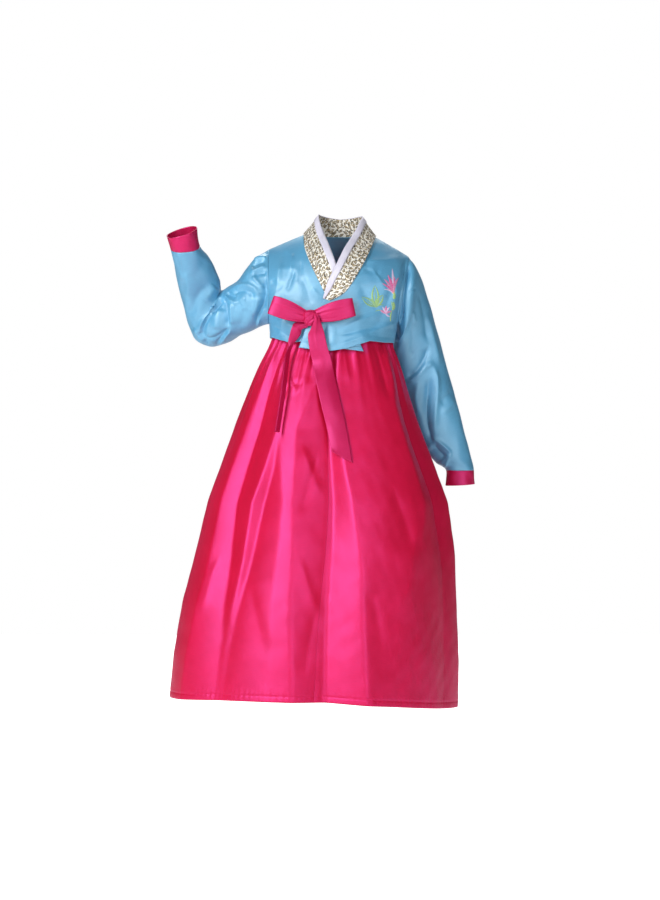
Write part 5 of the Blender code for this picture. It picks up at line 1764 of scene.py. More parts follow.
    def ring_points(self, degrees: Array, z: Array) -> Array:
        """Outer points of the skirt.

        Args:
            degrees: Angles of the columns.
            z: Heights of the rows.

        Returns:
            A grid, rows by columns by three.
        """
        middle, half, front, back, gather = (value[:, None] for value in self.level(z))
        turn = np.radians(degrees)[None, :]
        depth = np.where(degrees[None, :] % 360.0 <= 180.0, front, back)
        cos, sin = rounded(turn, self.power)
        x, y = half * cos, -depth * sin
        across, ahead = np.cos(turn) / half, -np.sin(turn) / depth
        size = np.hypot(across, ahead)
        out = self.folds(degrees, z) + self.gathered(degrees, gather)
        x, height = middle + x, z[:, None] + 0.0 * x
        gain, least = self.facing
        out = out + creased(SKIRT_CREASES, x, height) * smooth(gain * np.sin(turn) + least)
        mirrored = creased(SKIRT_CREASES, -self.mirror_scale * x - self.mirror_shift, height)
        out = out + self.mirror_scale * (mirrored * smooth(-gain * np.sin(turn) + least))
        drop = clamp((self.waist - z) / (self.waist - self.hem))[:, None]
        (rise, wide), (low, narrow), (round_it, down_it) = self.sway, self.rumpled, self.sway_slope
        out = out + rise * smooth(drop * 4.0) * rumple(x, y * round_it + height * down_it, wide, 21)
        out = out + low * rumple(x + y, height, narrow, 22)
        lift = (self.hem_tilt * np.cos(turn) + self.hem_rise * np.maximum(0.0, np.sin(turn)) ** 2) * drop ** 2
        groove, pucker = self.hem_seam(turn, z)
        out = out - groove + pucker
        return np.stack([x + across / size * out, y + ahead / size * out, height + lift], axis=2)

    def panel(self, sheet: Array, run: Array, first: int, outward: Sequence[float]) -> Array:
        """Cut one panel out of the skirt, with its seam allowance.

        Args:
            sheet: Outer points of the whole skirt.
            run: The way from column to column at each.
            first: Its first column.
            outward: The way that its outer face looks.

        Returns:
            Its points.
        """
        chosen = (first + np.arange(self.columns + 1)) % sheet.shape[1]
        panel = sheet[:, chosen].copy()
        panel[:, 0] += run[:, chosen[0]] * SEAM_GAP / 2
        panel[:, -1] -= run[:, chosen[-1]] * SEAM_GAP / 2
        share = np.linspace(0.0, 1.0, self.columns + 1)
        depth, width, soon = self.seam_sink
        sunk = np.exp(-(share / width) ** 2) + np.exp(-((1.0 - share) / width) ** 2)
        normals = sheet_normals(panel)
        normals *= np.sign((normals @ np.array(outward)).sum())
        panel -= normals * (depth * sunk * smooth(np.linspace(0.0, soon, len(panel)))[:, None])[:, :, None]
        ahead, inward = run[:, chosen[-1]], -normals[:, -1] * (WALL + SEAM_GAP)
        tuck = [panel[:, -1] + inward + ahead * step for step in (0.0, self.tuck)]
        return np.concatenate([panel, np.stack(tuck, axis=1)], axis=1)

    def build(self, satin: bpy.types.Material) -> list[bpy.types.Object]:
        """Make the four panels.

        Args:
            satin: Their cloth.

        Returns:
            The panels.
        """
        count = self.columns * 4
        spread = np.linspace(0.0, 1.0, self.rows)
        z = self.top + (self.hem - self.top) * spread ** self.crowding
        z = np.sort(np.concatenate([z, self.hem + np.array(self.hem_rows)]))
        sheet = self.ring_points(np.arange(count) * 360.0 / count, z[::-1])
        run = np.roll(sheet, -1, axis=1) - np.roll(sheet, 1, axis=1)
        run /= np.linalg.norm(run, axis=2, keepdims=True)
        cut = Cut(0.46, 0.77, 0.27, "gathered", ("chima_band",))
        names = (("chima_front_left", (0.6, -0.8, 0.0)), ("chima_front_right", (-0.6, -0.8, 0.0)),
                 ("chima_back_right", (-0.6, 0.8, 0.0)), ("chima_back_left", (0.6, 0.8, 0.0)))
        made = []
        for k, (name, outward) in enumerate(names):
            panel = self.panel(sheet, run, k * self.columns, outward)
            piece = Cloth(name, panel, outward, crisp=True).build(satin)
            made.append(hand_over(piece, "magenta_satin", cut, name))
        return made


@dataclass
class Waistband:
    """The plain cotton band at the skirt's top and its two shoulder straps, hidden under the jacket."""

    chima: Chima
    top: float = -0.12
    columns: int = 160
    rows: int = 20
    strap_width: float = 0.026
    strap_at_shoulder: float = 0.096
    strap_at_band: float = 0.07
    strap_under: float = -0.0026
    strap_rows: int = 100
    strap_columns: int = 10
    strap_spread: float = 1.6
    pucker: float = 0.003  # share of its breadth

    def ring(self) -> Array:
        """Rings of the band, puckered a little where the gathers are sewn to it.

        Returns:
            The grid.
        """
        first = SKIRT_LEVELS[0]
        turn = 2.0 * math.pi * np.arange(self.columns) / self.columns
        cos, sin = rounded(turn, self.chima.power)
        depth = np.where(turn <= math.pi, first.front, first.back)
        bottom = self.chima.top + SEAM_GAP
        rows = []
        for share in np.linspace(0.0, 1.0, self.rows):
            pucker = 1.0 + self.pucker * share ** 2 * np.sin(self.chima.gathers * turn)
            z = np.full(self.columns, self.top + (bottom - self.top) * share)
            x = first.middle + first.half * cos * pucker
            rows.append(np.stack([x, -depth * sin * pucker, z], axis=1))
        return np.array(rows)

    def edge_depth(self, x: Array, front: bool) -> Array:
        """Depth of the band's outer face at x.

        Args:
            x: Place in the front view.
            front: The front's face, or else the back's.

        Returns:
            The depth.
        """
        first = SKIRT_LEVELS[0]
        share = clamp(np.abs(x - first.middle) / first.half)
        depth = first.front if front else first.back
        return depth * (1.0 - share ** self.chima.power) ** (1.0 / self.chima.power)

    def strap(self, side: Side) -> Array:
        """Points of a strap from the band's front over the shoulder to its back.

        Args:
            side: Which shoulder.

        Returns:
            The grid.
        """
        foot = self.top + SEAM_GAP
        rows = []
        for step in np.linspace(-1.0, 1.0, self.strap_rows):
            share = abs(step) ** self.strap_spread
            middle = self.strap_at_shoulder + (self.strap_at_band - self.strap_at_shoulder) * smooth(share)
            x = side.value * middle + np.linspace(-0.5, 0.5, self.strap_columns) * self.strap_width
            crest = BODY.shoulder_line(x) + self.strap_under
            z = crest + (foot - crest) * share
            x = x + BODY.lean(z)
            blend = smooth(2.0 * share - 1.0)
            front = step < 0.0
            depth = BODY.depth(x, z, self.strap_under, front) * (1.0 - blend)
            depth = depth + self.edge_depth(x, front) * blend
            rows.append(np.stack([x, -depth if front else depth, z], axis=1))
        return np.array(rows)

    def build(self, cotton: bpy.types.Material) -> list[bpy.types.Object]:
        """Make the band and its straps.

        Args:
            cotton: Their cloth.

        Returns:
            The three pieces.
        """
        band = Cloth("chima_band", self.ring(), None, closed=True).build(cotton)
        band_cut = Cut(0.058, 0.66, 0.038, "stretched", ("jeogori_back",))
        strap_cut = Cut(0.026, 0.34, 0.0088, "stretched", ("chima_band",))
        made = [hand_over(band, "white_cotton", band_cut, "chima_band")]
        for side in Side:
            name = "chima_strap_" + side.name.lower()
            strap = Cloth(name, self.strap(side), (0.0, 0.0, 1.0), wall=RIBBON_WALL).build(cotton)
            made.append(hand_over(strap, "white_cotton", strap_cut, name))
        return made


# ---- bow -----------------------------------------------------------------------------------------------
class Loop(NamedTuple):
    """A loop of the bow: where it leaves the knot and where it ends, with its height at each."""

    root: Point2
    end: Point2
    root_height: float
    end_height: float
    depth: float
    slant: float  # how far the foot of its end stands out past the top


class TailStation(NamedTuple):
    """One crossing of a ribbon tail: x and z of both edges and how far each stands off the cloth."""

    near: Point2
    far: Point2
    near_off: float
    far_off: float


LOOPS = {
    Side.RIGHT: Loop((-0.06, -0.17), (-0.132, -0.1462), 0.0195, 0.0345, 0.018, -0.0125),
    Side.LEFT: Loop((-0.048, -0.169), (0.0312, -0.1508), 0.0195, 0.0345, 0.018, 0.007),
}
FRONT_TAIL = table_of(
    TailStation,
    ((-0.049, -0.164), (-0.042, -0.163), 0.0205, 0.02),
    ((-0.047, -0.1758), (-0.0356, -0.1745), 0.0222, 0.019),
    ((-0.05, -0.1858), (-0.0322, -0.185), 0.0205, 0.0165),
    ((-0.0545, -0.1956), (-0.029, -0.195), 0.0168, 0.0135),
    ((-0.059, -0.207), (-0.0262, -0.205), 0.0132, 0.011),
    ((-0.056, -0.2342), (-0.0205, -0.23), 0.011, 0.0085),
    ((-0.0505, -0.26), (-0.013, -0.253), 0.0112, 0.0062),
    ((-0.043, -0.296), (-0.0065, -0.286), 0.012, 0.0045),
    ((-0.033, -0.343), (0.0045, -0.333), 0.013, 0.004),
    ((-0.023, -0.385), (0.0135, -0.376), 0.013, 0.0036),
    ((-0.015, -0.422), (0.0215, -0.419), 0.012, 0.0036),
    ((-0.012, -0.433), (0.0268, -0.454), 0.012, 0.0036))
SIDE_TAIL = table_of(
    TailStation,
    ((-0.06, -0.1905), (-0.056, -0.176), 0.004, 0.006),
    ((-0.0695, -0.1935), (-0.073, -0.1785), 0.0036, 0.0062),
    ((-0.0718, -0.1965), (-0.0855, -0.1812), 0.0032, 0.011),
    ((-0.0724, -0.202), (-0.0905, -0.19), 0.003, 0.016),
    ((-0.0765, -0.209), (-0.094, -0.2015), 0.003, 0.017),
    ((-0.085, -0.22), (-0.098, -0.218), 0.0034, 0.015),
    ((-0.0925, -0.237), (-0.099, -0.237), 0.004, 0.01),
    ((-0.096, -0.257), (-0.0975, -0.257), 0.0042, 0.0068),
    ((-0.1012, -0.308), (-0.1027, -0.308), 0.0042, 0.0068),
    ((-0.107, -0.35), (-0.1085, -0.35), 0.0042, 0.0068),
    ((-0.1135, -0.396), (-0.115, -0.393), 0.0042, 0.0068))


@dataclass
class Goreum:
    """The ribbon tie: a tight knot on the over front, two loops and two hanging ends."""

    collar: Collar
    chima: Chima
    knot: Point2 = (-0.0545, -0.1725)
    knot_half: Triple = (0.0135, 0.0095, 0.016)
    knot_power: float = 2.6
    knot_seat: float = 0.012
    knot_blunt: float = 0.35
    knot_slant: Pair = (0.62, 0.1)
    knot_wrinkles: tuple[Pair, ...] = ((0.06, 7.0), (0.022, 17.0))  # height and waves
    knot_grooves: tuple[Triple, ...] = ((0.16, 0.55, 0.09), (0.13, -0.42, 0.08))
    loop_rows: int = 120
    loop_columns: int = 22
    loop_layer_gap: float = 0.0032
    loop_opening: float = 0.7
    loop_bulge: float = 0.0092
    loop_stand: float = 0.45
    loop_pleats: Pair = (0.0011, 0.0006)        # heights of the wide and the fine ones
    loop_waves: Pair = (17.0, 31.0)
    loop_crease: Triple = (0.0016, 0.16, 0.16)  # depth, place and width
    loop_behind: float = 0.4                    # how much of that its back half has
    tail_steps: int = 16
    tail_columns: int = 26
    tail_belly: float = 0.0025
    tail_fold: Pair = (0.0085, 0.0145)          # how far the side end's fold stands left, forward
    tail_pleat: Triple = (0.0012, 0.1, 15.0)    # height, reach and waves
    tail_wave: Pair = (0.0007, 9.0)
    tail_crease: Triple = (0.0014, 0.42, 0.07)  # height, place and width
    crease_down: Pair = (0.22, 0.2)             # its middle and length down the end
    fold_starts: float = 0.48
    fold_grows: float = 0.22
    fold_soft: float = 0.01                     # rounds the fold's edge
    hem_drop: float = 0.02
    sample_reach: float = 0.012

    def jacket(self, x: Array, z: Array) -> Array:
        """Depth of the jacket's outermost front face."""
        return BODY.depth(x, z, self.collar.overlap_lift(x, z))

    def skirt(self, x: float, z: float) -> float:
        """Depth of the skirt's front over a point of the front view.

        Args:
            x: Place in the front view.
            z: Height.

        Returns:
            The depth.
        """
        degrees = np.arange(0.0, 180.5, 0.5)
        ring = self.chima.ring_points(degrees, np.array([z]))[0]
        return float(-ring[np.abs(ring[:, 0] - x) < self.sample_reach, 1].min())

    def cloth(self, x: float, z: float) -> float:
        """Depth of whatever hangs outermost at a point of the front view.

        Args:
            x: Place in the front view.
            z: Height.

        Returns:
            The depth.
        """
        hem = float(along(LEFT_HEM, x) if x > LEFT_HEM[0][0] else along(RIGHT_HEM, x))
        skirt = self.skirt(x, z)
        return skirt if z < hem - self.hem_drop else max(skirt, float(self.jacket(x, z)))

    def knot_y(self) -> float:
        """y of the knot's middle, which rests on the over front.

        Returns:
            The y.
        """
        deepest = max(float(self.jacket(self.knot[0] + dx, self.knot[1] + dz))
                      for dx in (-self.knot_half[0], 0.0, self.knot_half[0])
                      for dz in (-self.knot_seat, 0.0, self.knot_seat))
        return -(deepest + LAY_GAP + self.knot_half[1])

    def knot_girth(self, turn: float, level: float, out: float) -> float:
        """How wide the knot is, wrinkled along its wrap.

        Args:
            turn: Angle round it.
            level: Height on a sphere.
            out: Distance from that sphere's upright axis.

        Returns:
            A factor, about 1.
        """
        size = math.sqrt(max(self.knot_blunt, 1.0 - abs(level) ** 3.0)) * min(1.0, out / self.knot_blunt)
        slant = level - self.knot_slant[0] * math.cos(turn) + self.knot_slant[1] * math.sin(2.0 * turn)
        (coarse, slow), (fine, quick) = self.knot_wrinkles
        wrinkle = coarse * math.sin(slow * slant + 0.8 * math.sin(3.0 * turn))
        wrinkle += fine * math.sin(quick * slant + turn)
        band = 0.0
        for depth, place, width in self.knot_grooves:
            band -= depth * math.exp(-((slant - place) / width) ** 2)
        return size * (1.0 + wrinkle + band)

    def build_knot(self, ribbon: bpy.types.Material) -> bpy.types.Object:
        """Make the knot, a lump of ribbon pulled tight.

        Args:
            ribbon: What it is made of.

        Returns:
            The piece.
        """
        bm = bmesh.new()
        bmesh.ops.create_uvsphere(bm, u_segments=96, v_segments=64, radius=1.0)
        layer = bm.loops.layers.uv.verify()
        middle = self.knot_y()
        for vert in bm.verts:
            x, y, z = vert.co
            turn = math.atan2(y, x)
            cos, sin = rounded(turn, self.knot_power)
            wide = self.knot_girth(turn, z, math.hypot(x, y))
            vert.co = (self.knot[0] + self.knot_half[0] * wide * cos,
                       middle + self.knot_half[1] * wide * sin,
                       self.knot[1] + self.knot_half[2] * z)
        for face in bm.faces:
            for loop in face.loops:
                spot = loop.vert.co
                loop[layer].uv = (spot.z, spot.x - self.knot[0] + spot.y)
        return hand_over(new_object("goreum_knot", bm, ribbon), "pink_ribbon", None, "goreum_knot")

    def loop_sheet(self, loop: Loop) -> Array:
        """Points of a loop, which leaves the knot behind, turns and comes back in front.

        Args:
            loop: Which one.

        Returns:
            The grid.
        """
        rows = []
        ups = np.linspace(-0.5, 0.5, self.loop_columns)
        (coarse, fine), (slow, quick) = self.loop_pleats, self.loop_waves
        depth, place, width = self.loop_crease
        for share in np.linspace(0.0, 1.0, self.loop_rows):
            turn = 2.0 * math.pi * share
            reach = 0.5 * (1.0 - math.cos(turn))
            swell = loop.depth * 0.5 * math.sin(turn) * math.sin(turn / 2.0)
            x = loop.root[0] + (loop.end[0] - loop.root[0]) * reach
            z = loop.root[1] + (loop.end[1] - loop.root[1]) * reach
            height = loop.root_height + (loop.end_height - loop.root_height) * reach ** self.loop_opening
            height += self.loop_bulge * math.sin(math.pi * reach)
            back = -(float(self.jacket(x, z)) + LAY_GAP + RIBBON_WALL)
            stand = loop.depth * self.loop_stand * math.sqrt(max(0.0, math.sin(math.pi * reach)))
            middle = min(self.knot_y(), back - stand)
            y = middle + swell + self.loop_layer_gap * (0.5 - share)
            edge = z + ups * height
            pinch = (1.0 - reach) ** 2
            pleats = coarse * pinch * np.sin(ups * slow + 0.7) + fine * (1.0 - reach) * np.sin(ups * quick)
            fold = -depth * reach * (1.0 - reach) * 4.0 * np.exp(-((ups - place) / width) ** 2)
            ys = y + (pleats + fold) * (1.0 if share > 0.5 else self.loop_behind)
            if share < 0.5:
                ys = np.minimum(ys, -(self.jacket(np.full_like(edge, x), edge) + LAY_GAP + RIBBON_WALL))
            rows.append(np.stack([x - loop.slant * reach ** 2 * ups, ys, edge], axis=1))
        return np.array(rows)

    def tail_sheet(self, stations: Sequence[TailStation], bend: float) -> Array:
        """Points of a hanging end, bowed forward and softly creased.

        Args:
            stations: Its crossings, from the knot down.
            bend: How far it is folded, 0 to 1.

        Returns:
            The grid.
        """
        edges = [(s.near[0], -self.cloth(*s.near) - s.near_off, s.near[1],
                  s.far[0], -self.cloth(*s.far) - s.far_off, s.far[1]) for s in stations]
        curve = curve_through(np.array(edges), self.tail_steps)
        share = np.linspace(0.0, 1.0, self.tail_columns)[None, :]
        sheet = curve[:, None, :3] + (curve[:, None, 3:] - curve[:, None, :3]) * share[:, :, None]
        down = np.linspace(0.0, 1.0, len(curve))[:, None]
        belly = self.tail_belly * np.sin(math.pi * share)
        height, reach, waves = self.tail_pleat
        pleat = height * np.exp(-down / reach) * np.sin(share * waves + 0.5)
        height, waves = self.tail_wave
        wave = height * np.sin(down * waves + share * 2.0) * np.sin(math.pi * share)
        (height, place, width), (middle, length) = self.tail_crease, self.crease_down
        crease = height * np.exp(-((share - place - 0.2 * (down - 0.2)) / width) ** 2)
        crease = crease * np.exp(-((down - middle) / length) ** 2)
        sheet[:, :, 1] -= (belly + pleat * (1.0 - 0.5 * bend) + wave + crease * (1.0 - bend))
        grown = bend * smooth((down - self.fold_starts) / self.fold_grows)
        fold = grown * (1.0 - np.sqrt((2.0 * share - 1.0) ** 2 + self.fold_soft)) / 0.9
        sheet[:, :, 0] -= self.tail_fold[0] * fold
        sheet[:, :, 1] -= self.tail_fold[1] * fold
        return sheet

    def build(self, ribbon: bpy.types.Material) -> list[bpy.types.Object]:
        """Make the knot, both loops and both ends.

        Args:
            ribbon: What they are made of.

        Returns:
            The five pieces.
        """
        made = [self.build_knot(ribbon)]
        for side, loop in LOOPS.items():
            name = "goreum_loop_" + side.name.lower()
            piece = Cloth(name, self.loop_sheet(loop), None, wall=RIBBON_WALL).build(ribbon)
            cut = Cut(0.04, 0.18, 0.0056, "folded", ("jeogori_front_left",))
            made.append(hand_over(piece, "pink_ribbon", cut, name))
        front_cut = Cut(0.038, 0.31, 0.011, "hung", ("chima_front_left",))
        side_cut = Cut(0.038, 0.29, 0.0098, "hung", ("chima_front_right",))
        for name, stations, bend, cut in (("goreum_tail_front", FRONT_TAIL, 0.0, front_cut),
                                          ("goreum_tail_side", SIDE_TAIL, 1.0, side_cut)):
            sheet = self.tail_sheet(stations, bend)
            piece = Cloth(name, sheet, (0.0, -1.0, 0.0), wall=RIBBON_WALL).build(ribbon)
            made.append(hand_over(piece, "pink_ribbon", cut, name))
        return made


# ---- embroidery ----------------------------------------------------------------------------------------
class Stitch(NamedTuple):
    """A band of satin stitch: its foot, heading from upright in degrees, size, bow and thread."""

    foot: Point2
    heading: float
    length: float
    width: float
    bow: float
    thread: str


def leaf_outline(foot: Point2, heading: float, length: float, spread: float,
                 thread: str) -> tuple[Stitch, ...]:
    """A leaf drawn by its two edges and its midrib.

    Args:
        foot: Where it springs from.
        heading: Degrees from upright, clockwise from the front.
        length: From foot to tip.
        spread: How far each edge bows out.
        thread: Name of its thread.

    Returns:
        Its stitches.
    """
    return (Stitch(foot, heading, length, 0.0038, spread, thread),
            Stitch(foot, heading, length, 0.0038, -spread, thread),
            Stitch(foot, heading, length * 0.72, 0.0022, 0.0, thread))


FLOWER_FOOT = (0.1085, -0.1215)
BUD_FOOT = (0.0935, -0.161)
STITCHES = (
    Stitch(FLOWER_FOOT, -2.0, 0.05, 0.0058, 0.001, "pale"),
    Stitch(FLOWER_FOOT, 6.0, 0.033, 0.007, -0.0016, "pink"),
    Stitch(FLOWER_FOOT, -16.0, 0.038, 0.0066, 0.002, "pink"),
    Stitch(FLOWER_FOOT, 19.0, 0.034, 0.0056, -0.0024, "rose"),
    Stitch(FLOWER_FOOT, -33.0, 0.033, 0.006, 0.0028, "rose"),
    Stitch(FLOWER_FOOT, -50.0, 0.029, 0.0046, 0.003, "pink"),
    Stitch(FLOWER_FOOT, -70.0, 0.02, 0.0034, 0.003, "pale"),
    Stitch((0.109, -0.1225), -8.0, 0.012, 0.006, 0.0, "gold"),
    Stitch((0.11, -0.133), 4.0, 0.013, 0.006, 0.0, "green"),
    Stitch((0.108, -0.1545), 2.0, 0.017, 0.0066, 0.0012, "green"),
    Stitch((0.1035, -0.176), 8.0, 0.022, 0.003, -0.0016, "green"),
    Stitch((0.108, -0.15), -14.0, 0.013, 0.0034, 0.0, "moss"),
    *leaf_outline((0.0735, -0.149), -2.0, 0.042, 0.006, "green"),
    *leaf_outline((0.073, -0.149), -55.0, 0.033, 0.005, "moss"),
    *leaf_outline((0.074, -0.148), 32.0, 0.027, 0.0046, "green"),
    Stitch((0.074, -0.15), -30.0, 0.02, 0.004, 0.002, "moss"),
    Stitch((0.0745, -0.15), 70.0, 0.016, 0.003, -0.002, "moss"),
    Stitch(BUD_FOOT, -62.0, 0.013, 0.0046, 0.0, "rose"),
    Stitch(BUD_FOOT, -28.0, 0.014, 0.0044, 0.001, "pale"),
    Stitch(BUD_FOOT, 4.0, 0.015, 0.004, 0.0, "pink"),
    Stitch(BUD_FOOT, 34.0, 0.015, 0.0042, -0.001, "pale"),
    Stitch(BUD_FOOT, 66.0, 0.013, 0.004, 0.0, "rose"),
    Stitch((0.0935, -0.162), 118.0, 0.011, 0.003, 0.0012, "pale"),
    Stitch((0.085, -0.156), -100.0, 0.013, 0.0022, 0.0016, "moss"),
)
THREADS = (
    Thread("thread_pink", (0.5, 0.05, 0.22), (0.86, 0.24, 0.48)),
    Thread("thread_rose", (0.46, 0.12, 0.3), (0.72, 0.34, 0.52)),
    Thread("thread_pale", (0.48, 0.36, 0.6), (0.78, 0.62, 0.8)),
    Thread("thread_green", (0.16, 0.34, 0.1), (0.44, 0.66, 0.28)),
    Thread("thread_moss", (0.14, 0.3, 0.16), (0.34, 0.56, 0.3)),
    Thread("thread_gold", (0.5, 0.3, 0.08), (0.8, 0.58, 0.26)),
)
PETAL_THREADS = ("pink", "rose", "pale")


@dataclass
class Embroidery:
    """A spray of flowers and leaves in satin stitch on the over front, by the wearer's left arm."""

    steps: int = 26
    columns: int = 9
    raised: float = 0.00055
    seat: float = 0.00008
    thinnest: float = 0.0003
    full: float = 0.003    # a narrower band is flatter
    blunt: float = 0.06    # how far its round foot is cut off
    swell: Pair = (0.85, 0.7)
    ragged: tuple[Pair, ...] = ((0.05, 61.0), (0.03, 131.0))  # height and waves
    strand_slant: float = 0.002
    far_y: float = -0.4    # in front of the whole garment
    near_y: float = -0.11  # where the front is looked for off its edge

    def on_front(self, front: bpy.types.Object) -> Callable[[float, float], tuple[Vector, Vector]]:
        """Give a way to find the front's outer face.

        Args:
            front: The over front.

        Returns:
            A function from x and z to the point there and its normal.
        """
        mesh = front.data
        tree = BVHTree.FromPolygons([v.co for v in mesh.vertices], [p.vertices for p in mesh.polygons])

        def find(x: float, z: float) -> tuple[Vector, Vector]:
            """Find the front.

            Args:
                x: Place in the front view.
                z: Height.

            Returns:
                The point and its normal.
            """
            spot, normal, _, _ = tree.ray_cast(Vector((x, self.far_y, z)), Vector((0.0, 1.0, 0.0)))
            if spot is None:
                spot, normal, _, _ = tree.find_nearest(Vector((x, self.near_y, z)))
            return spot, normal if normal.y < 0.0 else -normal

        return find

    def stitch_grid(self, stitch: Stitch, find: Callable) -> tuple[Array, Array]:
        """Lay one band of stitches on the cloth.

        Args:
            stitch: The band.
            find: Finds the cloth's face.

        Returns:
            Points and UVs.
        """
        heading = math.radians(stitch.heading)
        run = np.array((math.sin(heading), math.cos(heading)))
        side = np.array((run[1], -run[0]))
        (coarse, slow), (fine, quick) = self.ragged
        points = np.zeros((self.steps, self.columns, 3))
        marks = np.zeros((self.steps, self.columns, 2))
        for r, share in enumerate(np.linspace(0.0, 1.0, self.steps)):
            wide = min(1.0, self.blunt + (1.0 - self.blunt) * share) ** self.swell[0]
            wide = max(stitch.width * math.sin(math.pi * wide) ** self.swell[1], self.thinnest)
            bow = stitch.bow * math.sin(math.pi * share)
            ragged = 1.0 + coarse * math.sin(slow * share + 40.0 * stitch.width)
            ragged += fine * math.sin(quick * share)
            for c, across in enumerate(np.linspace(-0.5, 0.5, self.columns)):
                aside = bow + across * wide * ragged
                plan = np.array(stitch.foot) + run * stitch.length * share + side * aside
                spot, normal = find(*plan)
                crown = math.sqrt(max(0.0, 1.0 - (2.0 * across) ** 2))
                points[r, c] = spot + normal * (self.seat + self.raised * crown * min(1.0, wide / self.full))
                marks[r, c] = (share * stitch.length + across * self.strand_slant, across * wide)
        return points, marks

    def build(self, front: bpy.types.Object,
              threads: dict[str, bpy.types.Material]) -> list[bpy.types.Object]:
        """Sew the flowers and the leaves.

        Args:
            front: The over front.
            threads: The threads by name.

        Returns:
            The petals and the leaves, one object each.
        """
        find = self.on_front(front)
        made = []
        for name, petals, slot in (("embroidered_flowers", True, "pink_ribbon"),
                                   ("embroidered_leaves", False, "gold_brocade")):
            chosen = [stitch for stitch in STITCHES if (stitch.thread in PETAL_THREADS) == petals]
            names = sorted({stitch.thread for stitch in chosen})
            bm = bmesh.new()
            bm.loops.layers.uv.verify()
            for stitch in chosen:
                patch = bmesh.new()
                lay_grid(patch, *self.stitch_grid(stitch, find))
                for face in patch.faces:
                    face.material_index = names.index(stitch.thread)
                if sum(face.normal.y for face in patch.faces) > 0.0:
                    bmesh.ops.reverse_faces(patch, faces=patch.faces)
                scratch = bpy.data.meshes.new("patch")
                patch.to_mesh(scratch)
                patch.free()
                bm.from_mesh(scratch)
                bpy.data.meshes.remove(scratch)
            piece = hand_over(new_object(name, bm, *(threads[thread] for thread in names)), slot, None)
            made.append(piece)
        return made


# ---- studio --------------------------------------------------------------------------------------------
class Lamp(NamedTuple):
    """A soft white light: where it is, what it faces, its breadth and height, and its power."""

    name: str
    place: Triple
    aim: Triple
    size: Pair
    power: float


LAMPS = (
    Lamp("key", (-2.5, -3.2, 1.15), (0.0, 0.0, -0.45), (1.1, 2.7), 150.0),
    Lamp("front", (1.2, -4.2, 0.5), (0.0, 0.0, -0.45), (1.8, 1.8), 58.0),
    Lamp("back", (0.2, 3.1, 2.9), (0.0, 0.0, -0.40), (2.0, 1.6), 110.0),
)
WHITE: Colour = (1.0, 1.0, 1.0)


@dataclass
class Studio:
    """A pale floor, soft lights and the camera."""

    camera_place: Triple = (-0.016, -4.5, -0.43)
    lens: float = 90.0
    sensor: float = 36.0
    floor_z: float = -1.08
    floor_half: float = 3.4
    floor_cells: int = 8
    floor_colour: Colour = (0.92, 0.92, 0.92)
    floor_roughness: float = 0.9
    floor_glow: float = 0.28
    world: float = 0.08

    def build(self) -> None:
        """Set the floor, the lights, the surround and the camera."""
        self.floor()
        for lamp in LAMPS:
            light = bpy.data.lights.new(lamp.name, "AREA")
            light.shape = "RECTANGLE"
            light.size, light.size_y = lamp.size
            light.energy = lamp.power
            light.color = WHITE
            toward = Vector(lamp.aim) - Vector(lamp.place)
            self.put(lamp.name, light, lamp.place, toward.to_track_quat("-Z", "Y").to_euler())
        self.sky()
        camera = bpy.data.cameras.new("camera")
        camera.lens = self.lens
        camera.sensor_width = self.sensor
        scene = bpy.context.scene
        scene.camera = self.put("camera", camera, self.camera_place, (math.radians(90.0), 0.0, 0.0))
        scene.view_settings.view_transform = "Standard"

    def put(self, name: str, data: bpy.types.ID, place: Sequence[float],
            turn: Sequence[float]) -> bpy.types.Object:
        """Put a light or a camera in the scene.

        Args:
            name: What it is called.
            data: The light or the camera.
            place: Where it stands.
            turn: Its Euler angles.

        Returns:
            Its object.
        """
        made = bpy.data.objects.new(name, data)
        made.location = place
        made.rotation_euler = turn
        bpy.context.scene.collection.objects.link(made)
        return made

    def floor(self) -> None:
        """A pale floor, white to the camera."""
        s = NodeSketch("studio_floor")
        material = s.finish({"Base Color": self.floor_colour, "Roughness": self.floor_roughness,
                             "Emission Color": WHITE})
        self.seen_as_white(s.tree, s.shader.inputs["Emission Strength"], self.floor_glow)
        bm = bmesh.new()
        cells = self.floor_cells
        bmesh.ops.create_grid(bm, x_segments=cells, y_segments=cells, size=self.floor_half)
        bmesh.ops.translate(bm, verts=bm.verts, vec=(0.0, 0.0, self.floor_z))
        new_object("floor", bm, material)

    def seen_as_white(self, tree: bpy.types.NodeTree, strength: bpy.types.NodeSocket, glow: float) -> None:
        """Let a stage surface look white while it lights the cloth more softly.

        Args:
            tree: The surface's nodes.
            strength: How strongly it shines.
            glow: Its strength as a light.
        """
        seen = tree.nodes.new("ShaderNodeLightPath").outputs["Is Camera Ray"]
        power = tree.nodes.new("ShaderNodeMapRange")
        tree.links.new(seen, power.inputs["Value"])
        power.inputs["To Min"].default_value = glow
        power.inputs["To Max"].default_value = 1.0
        tree.links.new(power.outputs["Result"], strength)

    def sky(self) -> None:
        """A white surround."""
        world = bpy.data.worlds.new("studio_white")
        bpy.context.scene.world = world
        world.use_nodes = True
        background = world.node_tree.nodes["Background"]
        background.inputs["Color"].default_value = (*WHITE, 1.0)
        self.seen_as_white(world.node_tree, background.inputs["Strength"], self.world)


